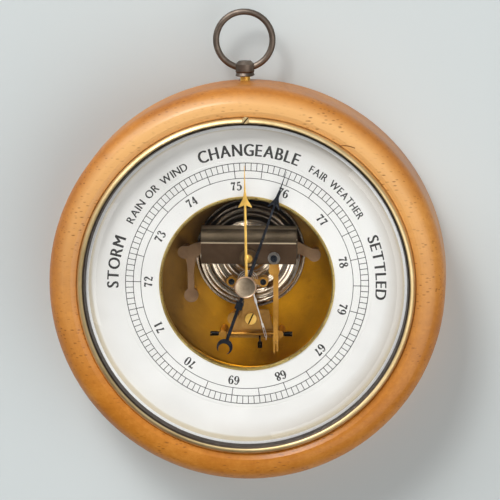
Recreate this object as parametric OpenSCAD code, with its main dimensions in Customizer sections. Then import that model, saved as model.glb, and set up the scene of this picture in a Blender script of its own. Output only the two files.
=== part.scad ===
// Wall barometer with an open dial: turned wooden case, brass bezel, glass and a visible aneroid movement.
// Every piece is drawn lying on its back: X to the right, Y up the dial, Z from the wall to the viewer.
// hung() then stands it up against the wall, so that Z becomes -Y and Y becomes Z.

/* [Case] */
// Outside diameter of the wooden case, which the bezel, glass, dial and pan follow
case_d = 181; // [176:0.5:200]
// Width of the wood beside the bezel
wood_w = 13.4; // [12.6:0.1:14]
// Height of the wooden crest above the wall
case_depth = 44; // [43:0.5:48]
// Thickness of the wooden back
case_back = 4; // [3.5:0.25:4.5]
// Radius of the rounded back edge
case_back_round = 3.5; // [1:0.5:5]
// Width of the rounded shoulder
shoulder_w = 10.5; // [8:0.5:11]
// Depth of the rounded shoulder
shoulder_h = 11; // [6:0.5:14]
// Squareness of the shoulder, 2 is an ellipse
shoulder_power = 2.2; // [2:0.1:3]
// How far the inner lip of the wood lies below its crest
lip_drop = 0.8; // [0.4:0.1:2]

/* [Pan] */
// How far the dial reaches over the edge of the pan
dial_lap = 2.5; // [2:0.1:5]
// Thickness of its brass
pan_wall = 1.2; // [1:0.1:1.4]
// Radius of the ring turned into its floor
pan_ring_r = 43; // [40:1:60]

/* [Dial] */
// Thickness of the dial plate
dial_t = 0.8; // [0.6:0.1:1]
// Height of the dial's face above the wall
dial_z = 34; // [33.8:0.1:34.2]
// Diameter of the opening over the movement
opening_d = 79.4; // [78:0.2:81]
// Width of the brass ring in the opening
opening_ring_w = 0.9; // [0.6:0.1:1.4]
// How far that ring stands out of the dial
opening_ring_out = 0.5; // [0.2:0.1:0.8]

/* [Glass and bezel] */
// Thickness of the glass
glass_t = 2.6; // [2.2:0.1:3]
// Thickness of the glass at its bevelled edge
glass_edge_t = 1.2; // [0.9:0.1:1.6]
// Width of the bevel
glass_bevel_w = 6; // [3:0.5:9]
// Gap from the dial to the glass
glass_gap = 4.6; // [4.5:0.1:5]
// How far the bezel reaches over the edge of the glass
bezel_lap = 1.4; // [1.2:0.1:2]
// Width of the bezel's wall beside the glass
bezel_wall = 2.1; // [1.8:0.1:2.2]
// How far the bezel stands above the lip of the wood
bezel_out = 2.4; // [1.5:0.1:3.5]
// Diameter of the small screw head on the bezel
bezel_screw_d = 3.2; // [2:0.1:3.4]

/* [Knob and set hand] */
// Diameter of the knob
knob_d = 9.9; // [8:0.1:12]
// Height of the knob above the glass
knob_h = 5.6; // [4.5:0.1:8]
// Depth of the dish in its top
knob_dish = 0.5; // [0.2:0.1:0.8]
// Diameter of its stem
stem_d = 2.4; // [2:0.1:2.8]
// Length of the set hand from its axis
set_hand_len = 55; // [50:0.5:58]
// Angle of the set hand from the upright, clockwise
set_hand_turn = -1; // [-180:1:180]

/* [Indicating hand] */
// Length of the indicating hand from its axis
hand_len = 55; // [50:0.5:58]
// Reading of the hand in centimetres of mercury
reading = 75.92; // [70:0.01:78]
// Thickness of both hands
hand_t = 0.5; // [0.4:0.05:0.7]
// Distance from the axis to the middle of the crescent on the tail
tail_len = 30.5; // [26:0.5:34]
// Outside radius of the crescent
crescent_r = 3.65; // [3:0.05:4.2]

/* [Capsule] */
// Diameter of the vacuum capsule
capsule_d = 50.4; // [46:0.2:51]
// Height of the capsule from its boss to its crest
capsule_h = 8.5; // [8:0.1:8.7]
// Height of a ring wave in the diaphragm
wave_h = 0.9; // [0.4:0.1:1.1]
// Thickness of the capsule's sheet
capsule_t = 0.45; // [0.3:0.05:0.6]
// Distance of the capsule's middle right of the dial's axis
capsule_x = 0.6; // [0:0.1:1]
// Distance of the capsule's middle above the dial's axis
capsule_y = 11.3; // [11:0.1:11.6]
// Diameter of the post in the middle of the capsule
post_d = 3.8; // [3:0.1:4.2]
// Diameter of the nut on the post
nut_d = 8.6; // [7:0.1:9.4]

/* [Spring and bridge] */
// Width of the spring
spring_w = 43.6; // [40:0.2:46]
// Thickness of the spring
spring_t = 1.1; // [0.9:0.05:1.2]
// Outside radius of the spring's bend
spring_r = 6.4; // [6.2:0.1:6.6]
// Height of the bend's axis above the dial's axis
spring_y = 19; // [18.8:0.1:19.4]
// Height of the leaf's free edge above the dial's axis
leaf_end_y = 8.6; // [8.4:0.1:9]
// Thickness of the bridge
bridge_t = 1.2; // [1:0.1:1.3]
// Gap from the diaphragm's crest to the bridge
bridge_gap = 0.8; // [0.7:0.05:0.9]

/* [Lever and rocker] */
// Distance of the lever right of the dial's axis
lever_x = 13; // [12.9:0.05:13.1]
// Width of the lever
lever_w = 2.3; // [2:0.1:2.5]
// Thickness of the lever
lever_t = 1; // [0.8:0.1:1.2]
// Distance from the dial's axis down to the lever's tip
lever_reach = 32.8; // [31.5:0.1:33.4]
// Height of the chain above the wall
chain_z = 26; // [25.8:0.1:26.2]
// Distance from the dial's axis down to the rocker's shaft
rocker_y = 25.2; // [25:0.1:25.4]
// Diameter of the rocker's shaft
rocker_d = 1.6; // [1.4:0.1:1.8]
// Length of the rocker's arm that pulls the chain
chain_arm = 5.5; // [5.3:0.1:5.7]
// Length of the rocker's arm that the lever moves
link_arm = 3; // [2.9:0.05:3.1]
// Lean of the chain arm down from the viewer, at this reading
arm_lean = 15; // [12:1:18]

/* [Hanger] */
// How far the hanger sits to the left round the case
hanger_lean = 1.4; // [0:0.1:3]
// Height of the hanger's middle above the wall
hanger_z = 8; // [7:0.5:12]
// Outside diameter of the ring
ring_d = 28.8; // [24:0.2:34]
// Diameter of its wire
ring_wire = 2.9; // [2.4:0.1:3.2]
// Diameter of the pommel
pommel_d = 8.9; // [8:0.1:11]
// Height of the pommel above its skirt
pommel_h = 5.1; // [5:0.1:6]
// Height of the skirt under the pommel
skirt_h = 2; // [1.6:0.1:3]
// Diameter of the neck that enters the wood
neck_d = 4.6; // [4:0.1:5.4]
// Height of the neck that shows above the wood
neck_show = 1.8; // [1:0.1:3]

/* [Hidden] */
$fn = 96;

// Clearances
seat_gap = 0.1;      // beside and under a piece that sits in another
run_gap = 0.05;      // round a turning shaft
side_gap = 0.3;      // between pieces that move past each other
eps = 0.01;          // overrun of a cut

// Levels above the wall
pan_floor = case_back + pan_wall;
dial_back = dial_z - dial_t;
glass_back = dial_z + glass_gap;
glass_front = glass_back + glass_t;
lip_z = case_depth - lip_drop;
bezel_top = lip_z + bezel_out;

// Diameters that follow the case
glass_side = 0.4;
bezel_d = case_d - 2 * wood_w;
glass_d = bezel_d - 2 * bezel_wall - 2 * glass_side;
bezel_in_d = glass_d - 2 * bezel_lap;
dial_d = glass_d - 0.2;
pan_d = dial_d - 2 * dial_lap;

// Case
case_r = case_d / 2;
pan_bore_r = pan_d / 2 + seat_gap;
dial_seat_r = dial_d / 2 + 0.5;
bezel_seat_r = bezel_d / 2 + seat_gap;
bezel_foot_z = dial_z + 1.9;
lip_round = 1;
shoulder_steps = 14;
case_screw_r = 50;
case_screw_d = 4;
case_screw_head_d = 7.4;
case_screw_head_h = 2;
case_screw_turns = [90, 210, 330];

// Middle parts
mid = [capsule_x, capsule_y];
foot_h = 2.5;
foot_d = 10;
adjuster_d = 3;
adjuster_head_d = 6.4;
adjuster_head_h = 2.2;
adjuster_reach = 2;

// Capsule
capsule_bottom = pan_floor + foot_h;
capsule_crest = capsule_bottom + capsule_h;
capsule_r = capsule_d / 2;
rim_w = 0.6;
rim_floor = capsule_bottom + capsule_h / 2 - 1.1;
rim_top = capsule_bottom + capsule_h / 2 + 1.3;
diaphragm_r = capsule_r - rim_w - side_gap;
diaphragm_skirt_z = rim_floor + capsule_t + 1;
boss_r = 3.6;
boss_h = 0.9;
wave_count = 4;
wave_steps = 8;

// Bridge and spring
bridge_z = capsule_crest + bridge_gap;
limb_z = bridge_z + bridge_t;
bend_z = limb_z + spring_r;
leaf_gap = 0.65;
leaf_top = bend_z + spring_r;
leaf_z = leaf_top - spring_t;
post_hole_r = post_d / 2 + 1.3;
bridge_y0 = leaf_end_y;
bridge_y1 = spring_y + 1;
bridge_w = 41;
foot_left = [-29.7, 12];
foot_low = [-26.5, -7.9];
foot_right = [30.1, 11.1];
foot_r = 3;
foot_low_r = 3.3;
left_web = [[-19, 17.2], [-24.5, 16.4], [-29.4, 14.2], [-30.2, 12], [-29, 10], [-28.5, 6.8], [-28.1, 2],
    [-28.1, -6.4], [-25, -6.4], [-25.3, 2], [-25, 6.6], [-24, 9.4], [-22, 11.6], [-19, 12.4]];
right_web = [[19, 11.8], [23.6, 11.4], [29.4, 9], [31, 11], [30.8, 13.2], [23.4, 17], [19, 17.6]];
bridge_pillar_r = 2.2;
spring_screw_x = 15;
spring_screw_y = 14.5;

// Nut and screw over the leaf
nut_z = leaf_top + 0.45;
nut_t = 1.2;
cone_h = 1;

// Lever under the leaf
lever_z = leaf_z - lever_t - 0.1;
lever_top_y = 13.6;
root_y = 5.5;
root_r = 2.5;
lever_root_x = lever_x - 0.8;
leaf_screw_y = 11.4;
fork_len = 5.6;
fork_slot = 0.7;

// Rocker
rocker_z = chain_z - chain_arm * cos(arm_lean);
rocker_r = rocker_d / 2;
post_left_x = -11.8;
post_right_x = 14.4;
post_r = 1.76;
post_top = rocker_z + 2;
pivot_tip_r = 0.35;
pivot_tip_len = 1;
pivot_screw_r = 0.9;
pivot_screw_out = 4;
rocker_x0 = post_left_x + post_r + side_gap;
rocker_x1 = post_right_x - post_r - side_gap;
chain_x = 8.4;
link_arm_x = 10.9;
arm_t = 0.9;
arm_r = 0.5;
link_pin_r = 0.4;
link_y = rocker_y + link_arm * cos(arm_lean);
link_z = rocker_z - link_arm * sin(arm_lean);
link_eye_r = 1;
link_eye_shift = 0.22;
weight_x = 5.2;
weight_arm = 5.6;

// Cage of the hand's arbor
cage_z = rocker_z;
cage_t = 1;
cock_z = 28.4;
cock_t = 1;
cage_x = 7.25;
cage_y = 0.3;
cage_ear_r = 2.3;
cage_pillar_r = 1.5;
cock_foot = [1.6, -16.8];
cock_bottom = -21.5;
cock_pillar_r = 2.4;
plate_z = bridge_z - 0.1;
plate_t = 1.1;
drum_r = 0.8;
drum_h = 2;
chain_r = 0.2;
arbor_r = 0.6;
pivot_r = 0.3;

// Hands
hand_z = dial_z + 2.2;
hand_barb_r = 37;
hand_barb_w = 5.5;
hand_neck_w = 0.9;
set_barb_r = 35.6;
set_barb_w = 6.2;
set_neck_w = 1.05;
hand_root_w = 1.6;
hand_root_r = 1.5;
set_hand_z = hand_z + hand_t + 0.7;
set_collet_t = 0.4;
cm_turn = 360 / 13;
first_mark = 132.2;
hand_turn = first_mark + (reading - 67) * cm_turn - 360;

// Hairspring
hair_turns = 4;
hair_r0 = 1.6;
hair_r1 = 5;
hair_wire = 0.14;
hair_z = cage_z + cage_t + 1.7;
hair_rings = 24;
hair_sides = 6;

// Hanger, measured up the middle line of the case
skirt_recess = 0.9;
neck_base = case_r - 12;
neck_seat = case_r - 0.4;
stem_screw_r = 1.8;
neck_top = case_r + neck_show;
pommel_base = neck_top + seat_gap;
pommel_body = pommel_base + skirt_h;
pommel_top = pommel_body + pommel_h;
ring_axis_y = pommel_body + pommel_h * 0.42;
ring_r = (ring_d - ring_wire) / 2;
ring_sag = ring_r - sqrt(ring_r * ring_r - pommel_d * pommel_d / 4);
ring_bore_r = ring_wire / 2 + ring_sag / 2 + run_gap;
ring_mid_y = ring_axis_y + ring_r - ring_sag / 2;

// Stands a lying piece up against the wall
module hung() rotate([90, 0, 0]) children();

// Puts a piece at a point of the dial's plane and a level above the wall
module at(p, z = 0) translate([p[0], p[1], z]) children();

// A turned piece whose axis runs along X
module along_x(p, z, x0) translate([x0, p, z]) rotate([0, 90, 0]) children();

// A round screw with a slotted head: head up, shank down
module slotted_screw(head_r, head_h, shank_r, shank_len, slot_turn) {
    difference() {
        union() {
            cylinder(r = head_r, h = head_h);
            translate([0, 0, -shank_len]) cylinder(r = shank_r, h = shank_len + eps);
        }
        rotate([0, 0, slot_turn]) translate([-head_r - eps, -head_r * 0.12, head_h * 0.55])
            cube([2 * head_r + 2 * eps, head_r * 0.24, head_h]);
    }
}

// Case

// Outline of the shoulder from the side of the case to its crest
shoulder = [for (i = [0:shoulder_steps])
    let (a = 90 * i / shoulder_steps)
    [case_r - shoulder_w + shoulder_w * pow(cos(a), 2 / shoulder_power),
     case_depth - shoulder_h + shoulder_h * pow(sin(a), 2 / shoulder_power)]];
back_edge = [for (i = [0:6])
    let (a = 90 * i / 6)
    [case_r - case_back_round + case_back_round * sin(a), case_back_round - case_back_round * cos(a)]];
lip = [for (i = [0:4])
    let (a = 90 * i / 4)
    [bezel_seat_r + lip_round - lip_round * sin(a), lip_z - lip_round + lip_round * cos(a)]];

module wood_case() {
    outline = concat([[0, 0]], back_edge, shoulder, lip, [
        [bezel_seat_r, bezel_foot_z],
        [dial_seat_r, bezel_foot_z],
        [dial_seat_r, dial_back],
        [pan_bore_r, dial_back],
        [pan_bore_r, case_back],
        [0, case_back]]);
    color("peru") hung() difference() {
        rotate_extrude() polygon(outline);
        at(mid, -eps) cylinder(d = adjuster_head_d + 2, h = case_back + 2 * eps);
        for (a = case_screw_turns) rotate([0, 0, a]) translate([case_screw_r, 0, -eps]) {
            cylinder(d = case_screw_d + 2 * seat_gap, h = case_back + 2 * eps);
            cylinder(d = case_screw_head_d + 4 * seat_gap, h = case_screw_head_h + 0.5);
        }
        rotate([0, 0, hanger_lean]) translate([0, neck_base, hanger_z]) rotate([-90, 0, 0]) {
            cylinder(r = stem_screw_r, h = 20);
            translate([0, 0, neck_seat - neck_base]) cylinder(d = neck_d + run_gap, h = 10);
        }
        rotate([0, 0, 90]) translate([bezel_screw_r, 0, bezel_foot_z - bezel_screw_reach - seat_gap])
            cylinder(r = bezel_shank_r + seat_gap, h = bezel_screw_reach + 1);
    }
}

module case_screws() {
    color("darkgoldenrod") hung() for (a = case_screw_turns)
        rotate([0, 0, a]) translate([case_screw_r, 0, case_screw_head_h + 0.5 - eps]) rotate([180, 0, 0])
            slotted_screw(case_screw_head_d / 2, case_screw_head_h, case_screw_d / 2,
                case_back + pan_wall - case_screw_head_h + 0.8, 30);
}

// Pan

module movement_pan() {
    pan_r = pan_d / 2;
    color("goldenrod") hung() difference() {
        rotate_extrude() polygon([
            [0, case_back],
            [pan_r, case_back],
            [pan_r, dial_back],
            [pan_r - pan_wall, dial_back],
            [pan_r - pan_wall, pan_floor],
            [pan_ring_r + 0.5, pan_floor],
            [pan_ring_r, pan_floor - 0.25],
            [pan_ring_r - 0.5, pan_floor],
            [0, pan_floor]]);
        at(mid, case_back - eps) cylinder(r = adjuster_d / 2 + run_gap, h = pan_wall + 2 * eps);
        for (a = case_screw_turns) rotate([0, 0, a]) translate([case_screw_r, 0, case_back - eps])
            cylinder(d = case_screw_d + 2 * seat_gap, h = pan_wall + 2 * eps);
    }
}

// Dial

module dial_plate() {
    color("white") hung() translate([0, 0, dial_back]) difference() {
        cylinder(d = dial_d, h = dial_t);
        translate([0, 0, -eps]) cylinder(d = opening_d, h = dial_t + 2 * eps);
    }
}

module dial_opening_ring() {
    r = opening_d / 2;
    w = opening_ring_w;
    color("gold") hung() rotate_extrude() polygon([
        [r - w, dial_back - 0.8],
        [r - run_gap, dial_back - 0.8],
        [r - run_gap, dial_z + 0.03],
        [r + w * 0.6, dial_z + 0.03],
        [r + w * 0.3, dial_z + opening_ring_out],
        [r - w * 0.5, dial_z + opening_ring_out],
        [r - w, dial_z]]);
}

module glass_seat_ring() {
    color("tan") hung() translate([0, 0, dial_z]) difference() {
        cylinder(r = glass_d / 2, h = glass_gap);
        translate([0, 0, -eps]) cylinder(d = bezel_in_d, h = glass_gap + 2 * eps);
    }
}

// Glass and bezel

module glass() {
    r = glass_d / 2;
    color("lightcyan", 0.4) hung() difference() {
        rotate_extrude() polygon([
            [0, glass_back],
            [r, glass_back],
            [r, glass_back + glass_edge_t],
            [r - glass_bevel_w, glass_front],
            [0, glass_front]]);
        translate([0, 0, glass_back - eps]) cylinder(r = bush_r + seat_gap, h = glass_t + 2 * eps);
    }
}

bevel_rise = (glass_d - bezel_in_d) / 2 / glass_bevel_w * (glass_t - glass_edge_t);
bezel_lip_z = glass_back + glass_edge_t + bevel_rise + seat_gap;
bezel_crest_r = bezel_in_d / 2 + 1.9;
bezel_bead = [for (i = [0:8])
    let (a = 90 * i / 8)
    [bezel_crest_r + (bezel_d / 2 - bezel_crest_r) * sin(a), lip_z + bezel_out * cos(a)]];

module bezel() {
    wall_r = bezel_d / 2 - bezel_wall;
    outline = concat(
        [[bezel_in_d / 2, bezel_lip_z + 0.3], [bezel_in_d / 2 + 0.7, bezel_top - 1.1]],
        bezel_bead,
        [[bezel_d / 2, bezel_foot_z], [wall_r, bezel_foot_z], [wall_r, bezel_lip_z],
         [bezel_in_d / 2, bezel_lip_z]]);
    color("gold") hung() difference() {
        rotate_extrude() polygon(outline);
        translate([0, bezel_screw_r, bezel_foot_z - eps])
            cylinder(r = bezel_shank_r + seat_gap, h = bezel_out + 20);
        translate([0, bezel_screw_r, bezel_screw_z]) cylinder(d = bezel_screw_d + 2 * seat_gap, h = 10);
    }
}

bezel_screw_r = (bezel_d - bezel_wall) / 2;
bezel_shank_r = 0.5;
bezel_screw_reach = 3;
bezel_screw_z = bezel_top - 1.5;

module bezel_screw() {
    color("darkgoldenrod") hung() translate([0, bezel_screw_r, bezel_screw_z])
        slotted_screw(bezel_screw_d / 2, 1.4, bezel_shank_r,
            bezel_screw_z - bezel_foot_z + bezel_screw_reach, 130);
}

// Knob and set hand

bush_r = stem_d / 2 + 1;
bush_flange_r = bush_r + 1;
bush_flange_t = 0.3;
stem_bottom = set_hand_z - set_collet_t;

module knob_bush() {
    color("goldenrod") hung() difference() {
        union() {
            translate([0, 0, glass_back - bush_flange_t]) cylinder(r = bush_r, h = glass_t + bush_flange_t);
            translate([0, 0, glass_front]) cylinder(r = bush_flange_r, h = bush_flange_t);
            translate([0, 0, glass_back - bush_flange_t]) cylinder(r = bush_flange_r, h = bush_flange_t);
        }
        translate([0, 0, glass_back - 1])
            cylinder(r = stem_d / 2 + run_gap, h = glass_t + 2);
    }
}

module set_hand_knob() {
    base = glass_front + bush_flange_t + run_gap;
    top = glass_front + knob_h;
    rim = knob_d / 2;
    dish = [for (i = [0:5])
        let (a = 90 * i / 5)
        [(rim - 0.45) * cos(a), top - knob_dish * sin(a)]];
    color("goldenrod") hung() rotate_extrude() polygon(concat(
        [[0, stem_bottom], [stem_d / 2, stem_bottom], [stem_d / 2, base], [rim * 0.62, base],
         [rim * 0.58, base + 1.2], [rim - 0.5, top - 2.4], [rim, top - 2], [rim, top - 0.25],
         [rim - 0.2, top]],
        dish));
}

// Half outline of a pointer that widens into an arrow head, from its tip to its root
function arrow(len, barb_r, barb_w, neck_w, root_w) = [
    [0.1, len],
    [0.3, len - (len - barb_r) * 0.45],
    [0.85, len - (len - barb_r) * 0.72],
    [barb_w / 2, barb_r + 0.5],
    [barb_w / 2 - 0.15, barb_r],
    [neck_w / 2 + 0.35, barb_r + 1.9],
    [neck_w / 2, barb_r + 1.2],
    [root_w / 2, hand_root_r]];

function mirrored(pts) = concat(pts, [for (i = [len(pts) - 1:-1:0]) [-pts[i][0], pts[i][1]]]);

module set_hand() {
    eye_r = 2.5;
    color("gold") hung() translate([0, 0, set_hand_z]) rotate([0, 0, -set_hand_turn]) difference() {
        union() {
            linear_extrude(hand_t)
                polygon(mirrored(arrow(set_hand_len, set_barb_r, set_barb_w, set_neck_w, hand_root_w)));
            cylinder(r = eye_r, h = hand_t);
        }
        translate([0, 0, -eps]) cylinder(r = stem_d / 2 + run_gap / 2, h = hand_t + 2 * eps);
    }
}

module set_hand_collet() {
    color("goldenrod") hung() translate([0, 0, stem_bottom]) difference() {
        cylinder(r = 2, h = set_collet_t);
        translate([0, 0, -eps]) cylinder(r = stem_d / 2 + run_gap / 2, h = set_collet_t + 2 * eps);
    }
}

// Indicating hand and its arbor

hub_r = 2.2;

module hand_arbor() {
    color("silver") hung() union() {
        translate([0, 0, cage_z + 0.2]) cylinder(r = pivot_r, h = 1);
        translate([0, 0, cage_z + cage_t + run_gap])
            cylinder(r = arbor_r, h = hand_z + hand_t - cage_z - cage_t - run_gap);
        translate([0, 0, hair_z - 0.6]) cylinder(r = hair_r0 - hair_wire, h = 1.2);
        difference() {
            translate([0, 0, chain_z - drum_h / 2]) cylinder(r = drum_r + 0.5, h = drum_h);
            translate([0, 0, chain_z - drum_h / 2 + 0.4]) difference() {
                cylinder(r = drum_r + 1, h = drum_h - 0.8);
                translate([0, 0, -eps]) cylinder(r = drum_r, h = drum_h);
            }
        }
        translate([0, 0, hand_z - 2]) cylinder(r = hub_r - 0.9, h = 2);
    }
}

module indicating_hand() {
    color("midnightblue") hung() translate([0, 0, hand_z]) rotate([0, 0, -hand_turn]) difference() {
        union() {
            linear_extrude(hand_t)
                polygon(mirrored(arrow(hand_len, hand_barb_r, hand_barb_w, hand_neck_w, hand_root_w)));
            cylinder(r = hub_r, h = hand_t);
            translate([-0.75, -tail_len + crescent_r - 0.6, 0])
                cube([1.5, tail_len - crescent_r - 0.5, hand_t]);
            translate([0, -tail_len, 0]) difference() {
                cylinder(r = crescent_r, h = hand_t);
                translate([0, -crescent_r * 0.315, -eps]) cylinder(r = crescent_r * 0.72, h = hand_t + 2 * eps);
                translate([-crescent_r, -crescent_r * 2, -eps])
                    cube([2 * crescent_r, crescent_r * 1.22, hand_t + 2 * eps]);
            }
        }
        translate([0, 0, -eps]) cylinder(r = arbor_r + run_gap / 2, h = hand_t + 2 * eps);
    }
}

block_under = 1.85;
block_over = 0.3;
block_w = 3.4;
block_len = 3.6;
block_far = 12.2;

module tail_block() {
    color("midnightblue") hung() rotate([0, 0, -hand_turn])
        translate([-block_w / 2, -block_far, hand_z - block_under]) difference() {
            cube([block_w, block_len, block_under + hand_t + block_over]);
            translate([block_w / 2 - 0.8, -eps, block_under - run_gap])
                cube([1.6, block_len + 2 * eps, hand_t + 2 * run_gap]);
        }
}

// Capsule

// Waves of the diaphragm from its rim to its boss: a row of points on a level curve
function waves(r0, r1, level, height) = [for (i = [0:wave_count * wave_steps])
    let (t = i / (wave_count * wave_steps))
    [r0 + (r1 - r0) * t, level - height / 2 + height / 2 * cos(360 * wave_count * t)]];

function shifted(pts, dz) = [for (i = [len(pts) - 1:-1:0]) [pts[i][0], pts[i][1] + dz]];

module adjusting_screw() {
    color("goldenrod") hung() at(mid, 0.8 + adjuster_head_h) rotate([180, 0, 0])
        slotted_screw(adjuster_head_d / 2, adjuster_head_h, adjuster_d / 2,
            pan_floor + adjuster_reach - adjuster_head_h - 0.8, 20);
}

module capsule_foot() {
    color("goldenrod") hung() at(mid, pan_floor) difference() {
        cylinder(d = foot_d, h = foot_h);
        translate([0, 0, -eps]) cylinder(r = adjuster_d / 2 + run_gap, h = adjuster_reach + 0.2);
    }
}

module capsule_base() {
    wall = capsule_r - rim_w;
    inner = waves(wall - 1.6, boss_r, capsule_bottom + wave_h, wave_h);
    color("silver") hung() at(mid) rotate_extrude() polygon(concat(
        [[0, capsule_bottom], [boss_r, capsule_bottom]],
        [for (i = [len(inner) - 1:-1:0]) inner[i]],
        [[wall - 0.8, rim_floor], [capsule_r, rim_floor],
         [capsule_r, rim_top - 0.2], [capsule_r - 0.2, rim_top],
         [wall, rim_top], [wall, rim_floor + capsule_t], [wall - 1.2, rim_floor + capsule_t]],
        [for (p = inner) [p[0], p[1] + capsule_t]],
        [[0, capsule_bottom + capsule_t]]));
}

module capsule_diaphragm() {
    outer = waves(diaphragm_r - 1.4, boss_r, capsule_crest, wave_h);
    shell = concat(
        [[diaphragm_r, diaphragm_skirt_z], [diaphragm_r, rim_top - 0.4]],
        outer,
        [[boss_r - 0.4, capsule_crest + boss_h - wave_h], [0, capsule_crest + boss_h - wave_h],
         [0, capsule_crest - wave_h]],
        shifted(outer, -capsule_t),
        [[diaphragm_r - capsule_t, rim_top - 0.4], [diaphragm_r - capsule_t, diaphragm_skirt_z]]);
    color("silver") hung() at(mid) rotate_extrude() polygon(shell);
}

module capsule_post() {
    base = capsule_crest + boss_h - wave_h;
    color("goldenrod") hung() at(mid, base) difference() {
        cylinder(d = post_d, h = nut_z + nut_t - base);
        translate([0, 0, nut_z + nut_t - base - 2]) cylinder(r = 0.8, h = 2 + eps);
    }
}

module post_nut() {
    color("darkkhaki") hung() at(mid, nut_z) difference() {
        rotate_extrude() polygon([[0, 0], [nut_d / 2 - 0.3, 0], [nut_d / 2, 0.3], [nut_d / 2, nut_t - 0.3],
            [nut_d / 2 - 0.3, nut_t], [nut_d / 2 - 0.9, nut_t], [nut_d / 2 - 1.5, nut_t - 0.35],
            [0, nut_t - 0.35]]);
        translate([0, 0, -eps]) cylinder(d = post_d + run_gap, h = nut_t + 2 * eps);
    }
}

module post_screw() {
    color("gold") hung() at(mid, nut_z + nut_t) union() {
        cylinder(r1 = 1.7, r2 = 0.5, h = cone_h);
        translate([0, 0, -1.8]) cylinder(r = 0.75, h = 1.8 + eps);
    }
}

// Bridge and spring

module bridge_outline() {
    difference() {
        union() {
            translate([mid[0] - bridge_w / 2, bridge_y0]) square([bridge_w, bridge_y1 - bridge_y0]);
            polygon(left_web);
            polygon(right_web);
            translate(foot_left) circle(r = foot_r);
            translate(foot_right) circle(r = foot_r);
            translate(foot_low) circle(r = foot_low_r);
        }
        translate(mid) circle(r = post_hole_r);
        for (s = [-1, 1]) translate([mid[0] + s * spring_screw_x, spring_screw_y]) circle(r = 1 + seat_gap);
    }
}

module bridge() {
    color("rosybrown") hung() translate([0, 0, bridge_z]) linear_extrude(bridge_t) bridge_outline();
}

module bridge_pillars() {
    color("darkgoldenrod") hung() for (p = [foot_left, foot_right, foot_low])
        at(p, pan_floor) cylinder(r = bridge_pillar_r, h = bridge_z - pan_floor);
}

module main_spring() {
    color("dimgray") hung() difference() {
        union() {
            translate([mid[0] - spring_w / 2, bridge_y0 + 1, limb_z])
                cube([spring_w, spring_y - bridge_y0 - 1 + eps, spring_t]);
            along_x(spring_y, bend_z, mid[0] - spring_w / 2) difference() {
                cylinder(r = spring_r, h = spring_w);
                translate([0, 0, -eps]) cylinder(r = spring_r - spring_t, h = spring_w + 2 * eps);
                translate([-spring_r - 1, -spring_r - 1, -eps])
                    cube([2 * spring_r + 2, spring_r + 1, spring_w + 2 * eps]);
            }
        }
        at(mid, limb_z - eps) cylinder(r = post_hole_r, h = spring_t + 2 * eps);
        for (s = [-1, 1]) at([mid[0] + s * spring_screw_x, spring_screw_y], limb_z - eps)
            cylinder(r = 1 + seat_gap, h = spring_t + 2 * eps);
    }
}

module spring_screws() {
    color("midnightblue") hung() for (s = [-1, 1])
        at([mid[0] + s * spring_screw_x, spring_screw_y], limb_z + spring_t)
            slotted_screw(2, 1.2, 1, spring_t + bridge_t, 40);
}

module spring_leaf() {
    color("dimgray") hung() difference() {
        translate([mid[0] - spring_w / 2, leaf_end_y, leaf_z])
            cube([spring_w, spring_y - leaf_end_y - leaf_gap, spring_t]);
        at(mid, leaf_z - eps) cylinder(r = post_hole_r, h = spring_t + 2 * eps);
        at([lever_root_x, leaf_screw_y], leaf_z - eps) cylinder(r = 1 + seat_gap, h = spring_t + 2 * eps);
    }
}

// Lever

module leaf_washer() {
    color("slategray") hung() at([lever_root_x, leaf_screw_y], leaf_top) difference() {
        cylinder(r = 2.8, h = 0.5);
        translate([0, 0, -eps]) cylinder(r = 1 + seat_gap, h = 0.5 + 2 * eps);
    }
}

module leaf_screw() {
    color("midnightblue") hung() at([lever_root_x, leaf_screw_y], leaf_top + 0.5)
        slotted_screw(1.6, 0.9, 1, leaf_top + 0.5 - lever_z, 100);
}

module main_lever() {
    x0 = lever_x - lever_w / 2;
    color("darkgoldenrod") hung() translate([0, 0, lever_z]) difference() {
        union() {
            translate([lever_root_x - 2.2, root_y, 0]) cube([4.4, lever_top_y - root_y, lever_t]);
            at([lever_root_x, root_y]) cylinder(r = root_r, h = lever_t);
            translate([x0, -lever_reach, 0]) cube([lever_w, lever_reach + root_y, lever_t]);
        }
        at([lever_root_x, leaf_screw_y], -eps) cylinder(r = 1 + seat_gap, h = lever_t + 2 * eps);
        translate([lever_x - fork_slot / 2, -lever_reach - eps, -eps])
            cube([fork_slot, fork_len, lever_t + 2 * eps]);
        translate([lever_x + fork_slot / 2 - eps, -lever_reach - eps, -eps])
            cube([lever_w, 0.9, lever_t + 2 * eps]);
    }
}

// Hangs on the lever's fork and holds the pin of the rocker in a wide eye
module lever_link() {
    color("gold") hung() translate([0, link_eye_shift - link_y, 0]) difference() {
        union() {
            translate([lever_x - fork_slot / 2 + 0.05, -0.5, link_z + link_eye_r])
                cube([fork_slot - 0.1, 1, lever_z + lever_t - link_z - link_eye_r]);
            translate([lever_x - fork_slot / 2 + 0.05, 0, link_z]) rotate([0, 90, 0])
                cylinder(r = link_eye_r + 0.35, h = fork_slot - 0.1);
        }
        translate([lever_x - fork_slot, 0, link_z]) rotate([0, 90, 0])
            cylinder(r = link_eye_r, h = 2 * fork_slot);
    }
}

// Rocker

module rocker_arm(x, len, angle) {
    translate([x, -rocker_y, rocker_z]) rotate([angle, 0, 0]) translate([0, -arm_r, 0])
        cube([arm_t, 2 * arm_r, len]);
}

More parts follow.
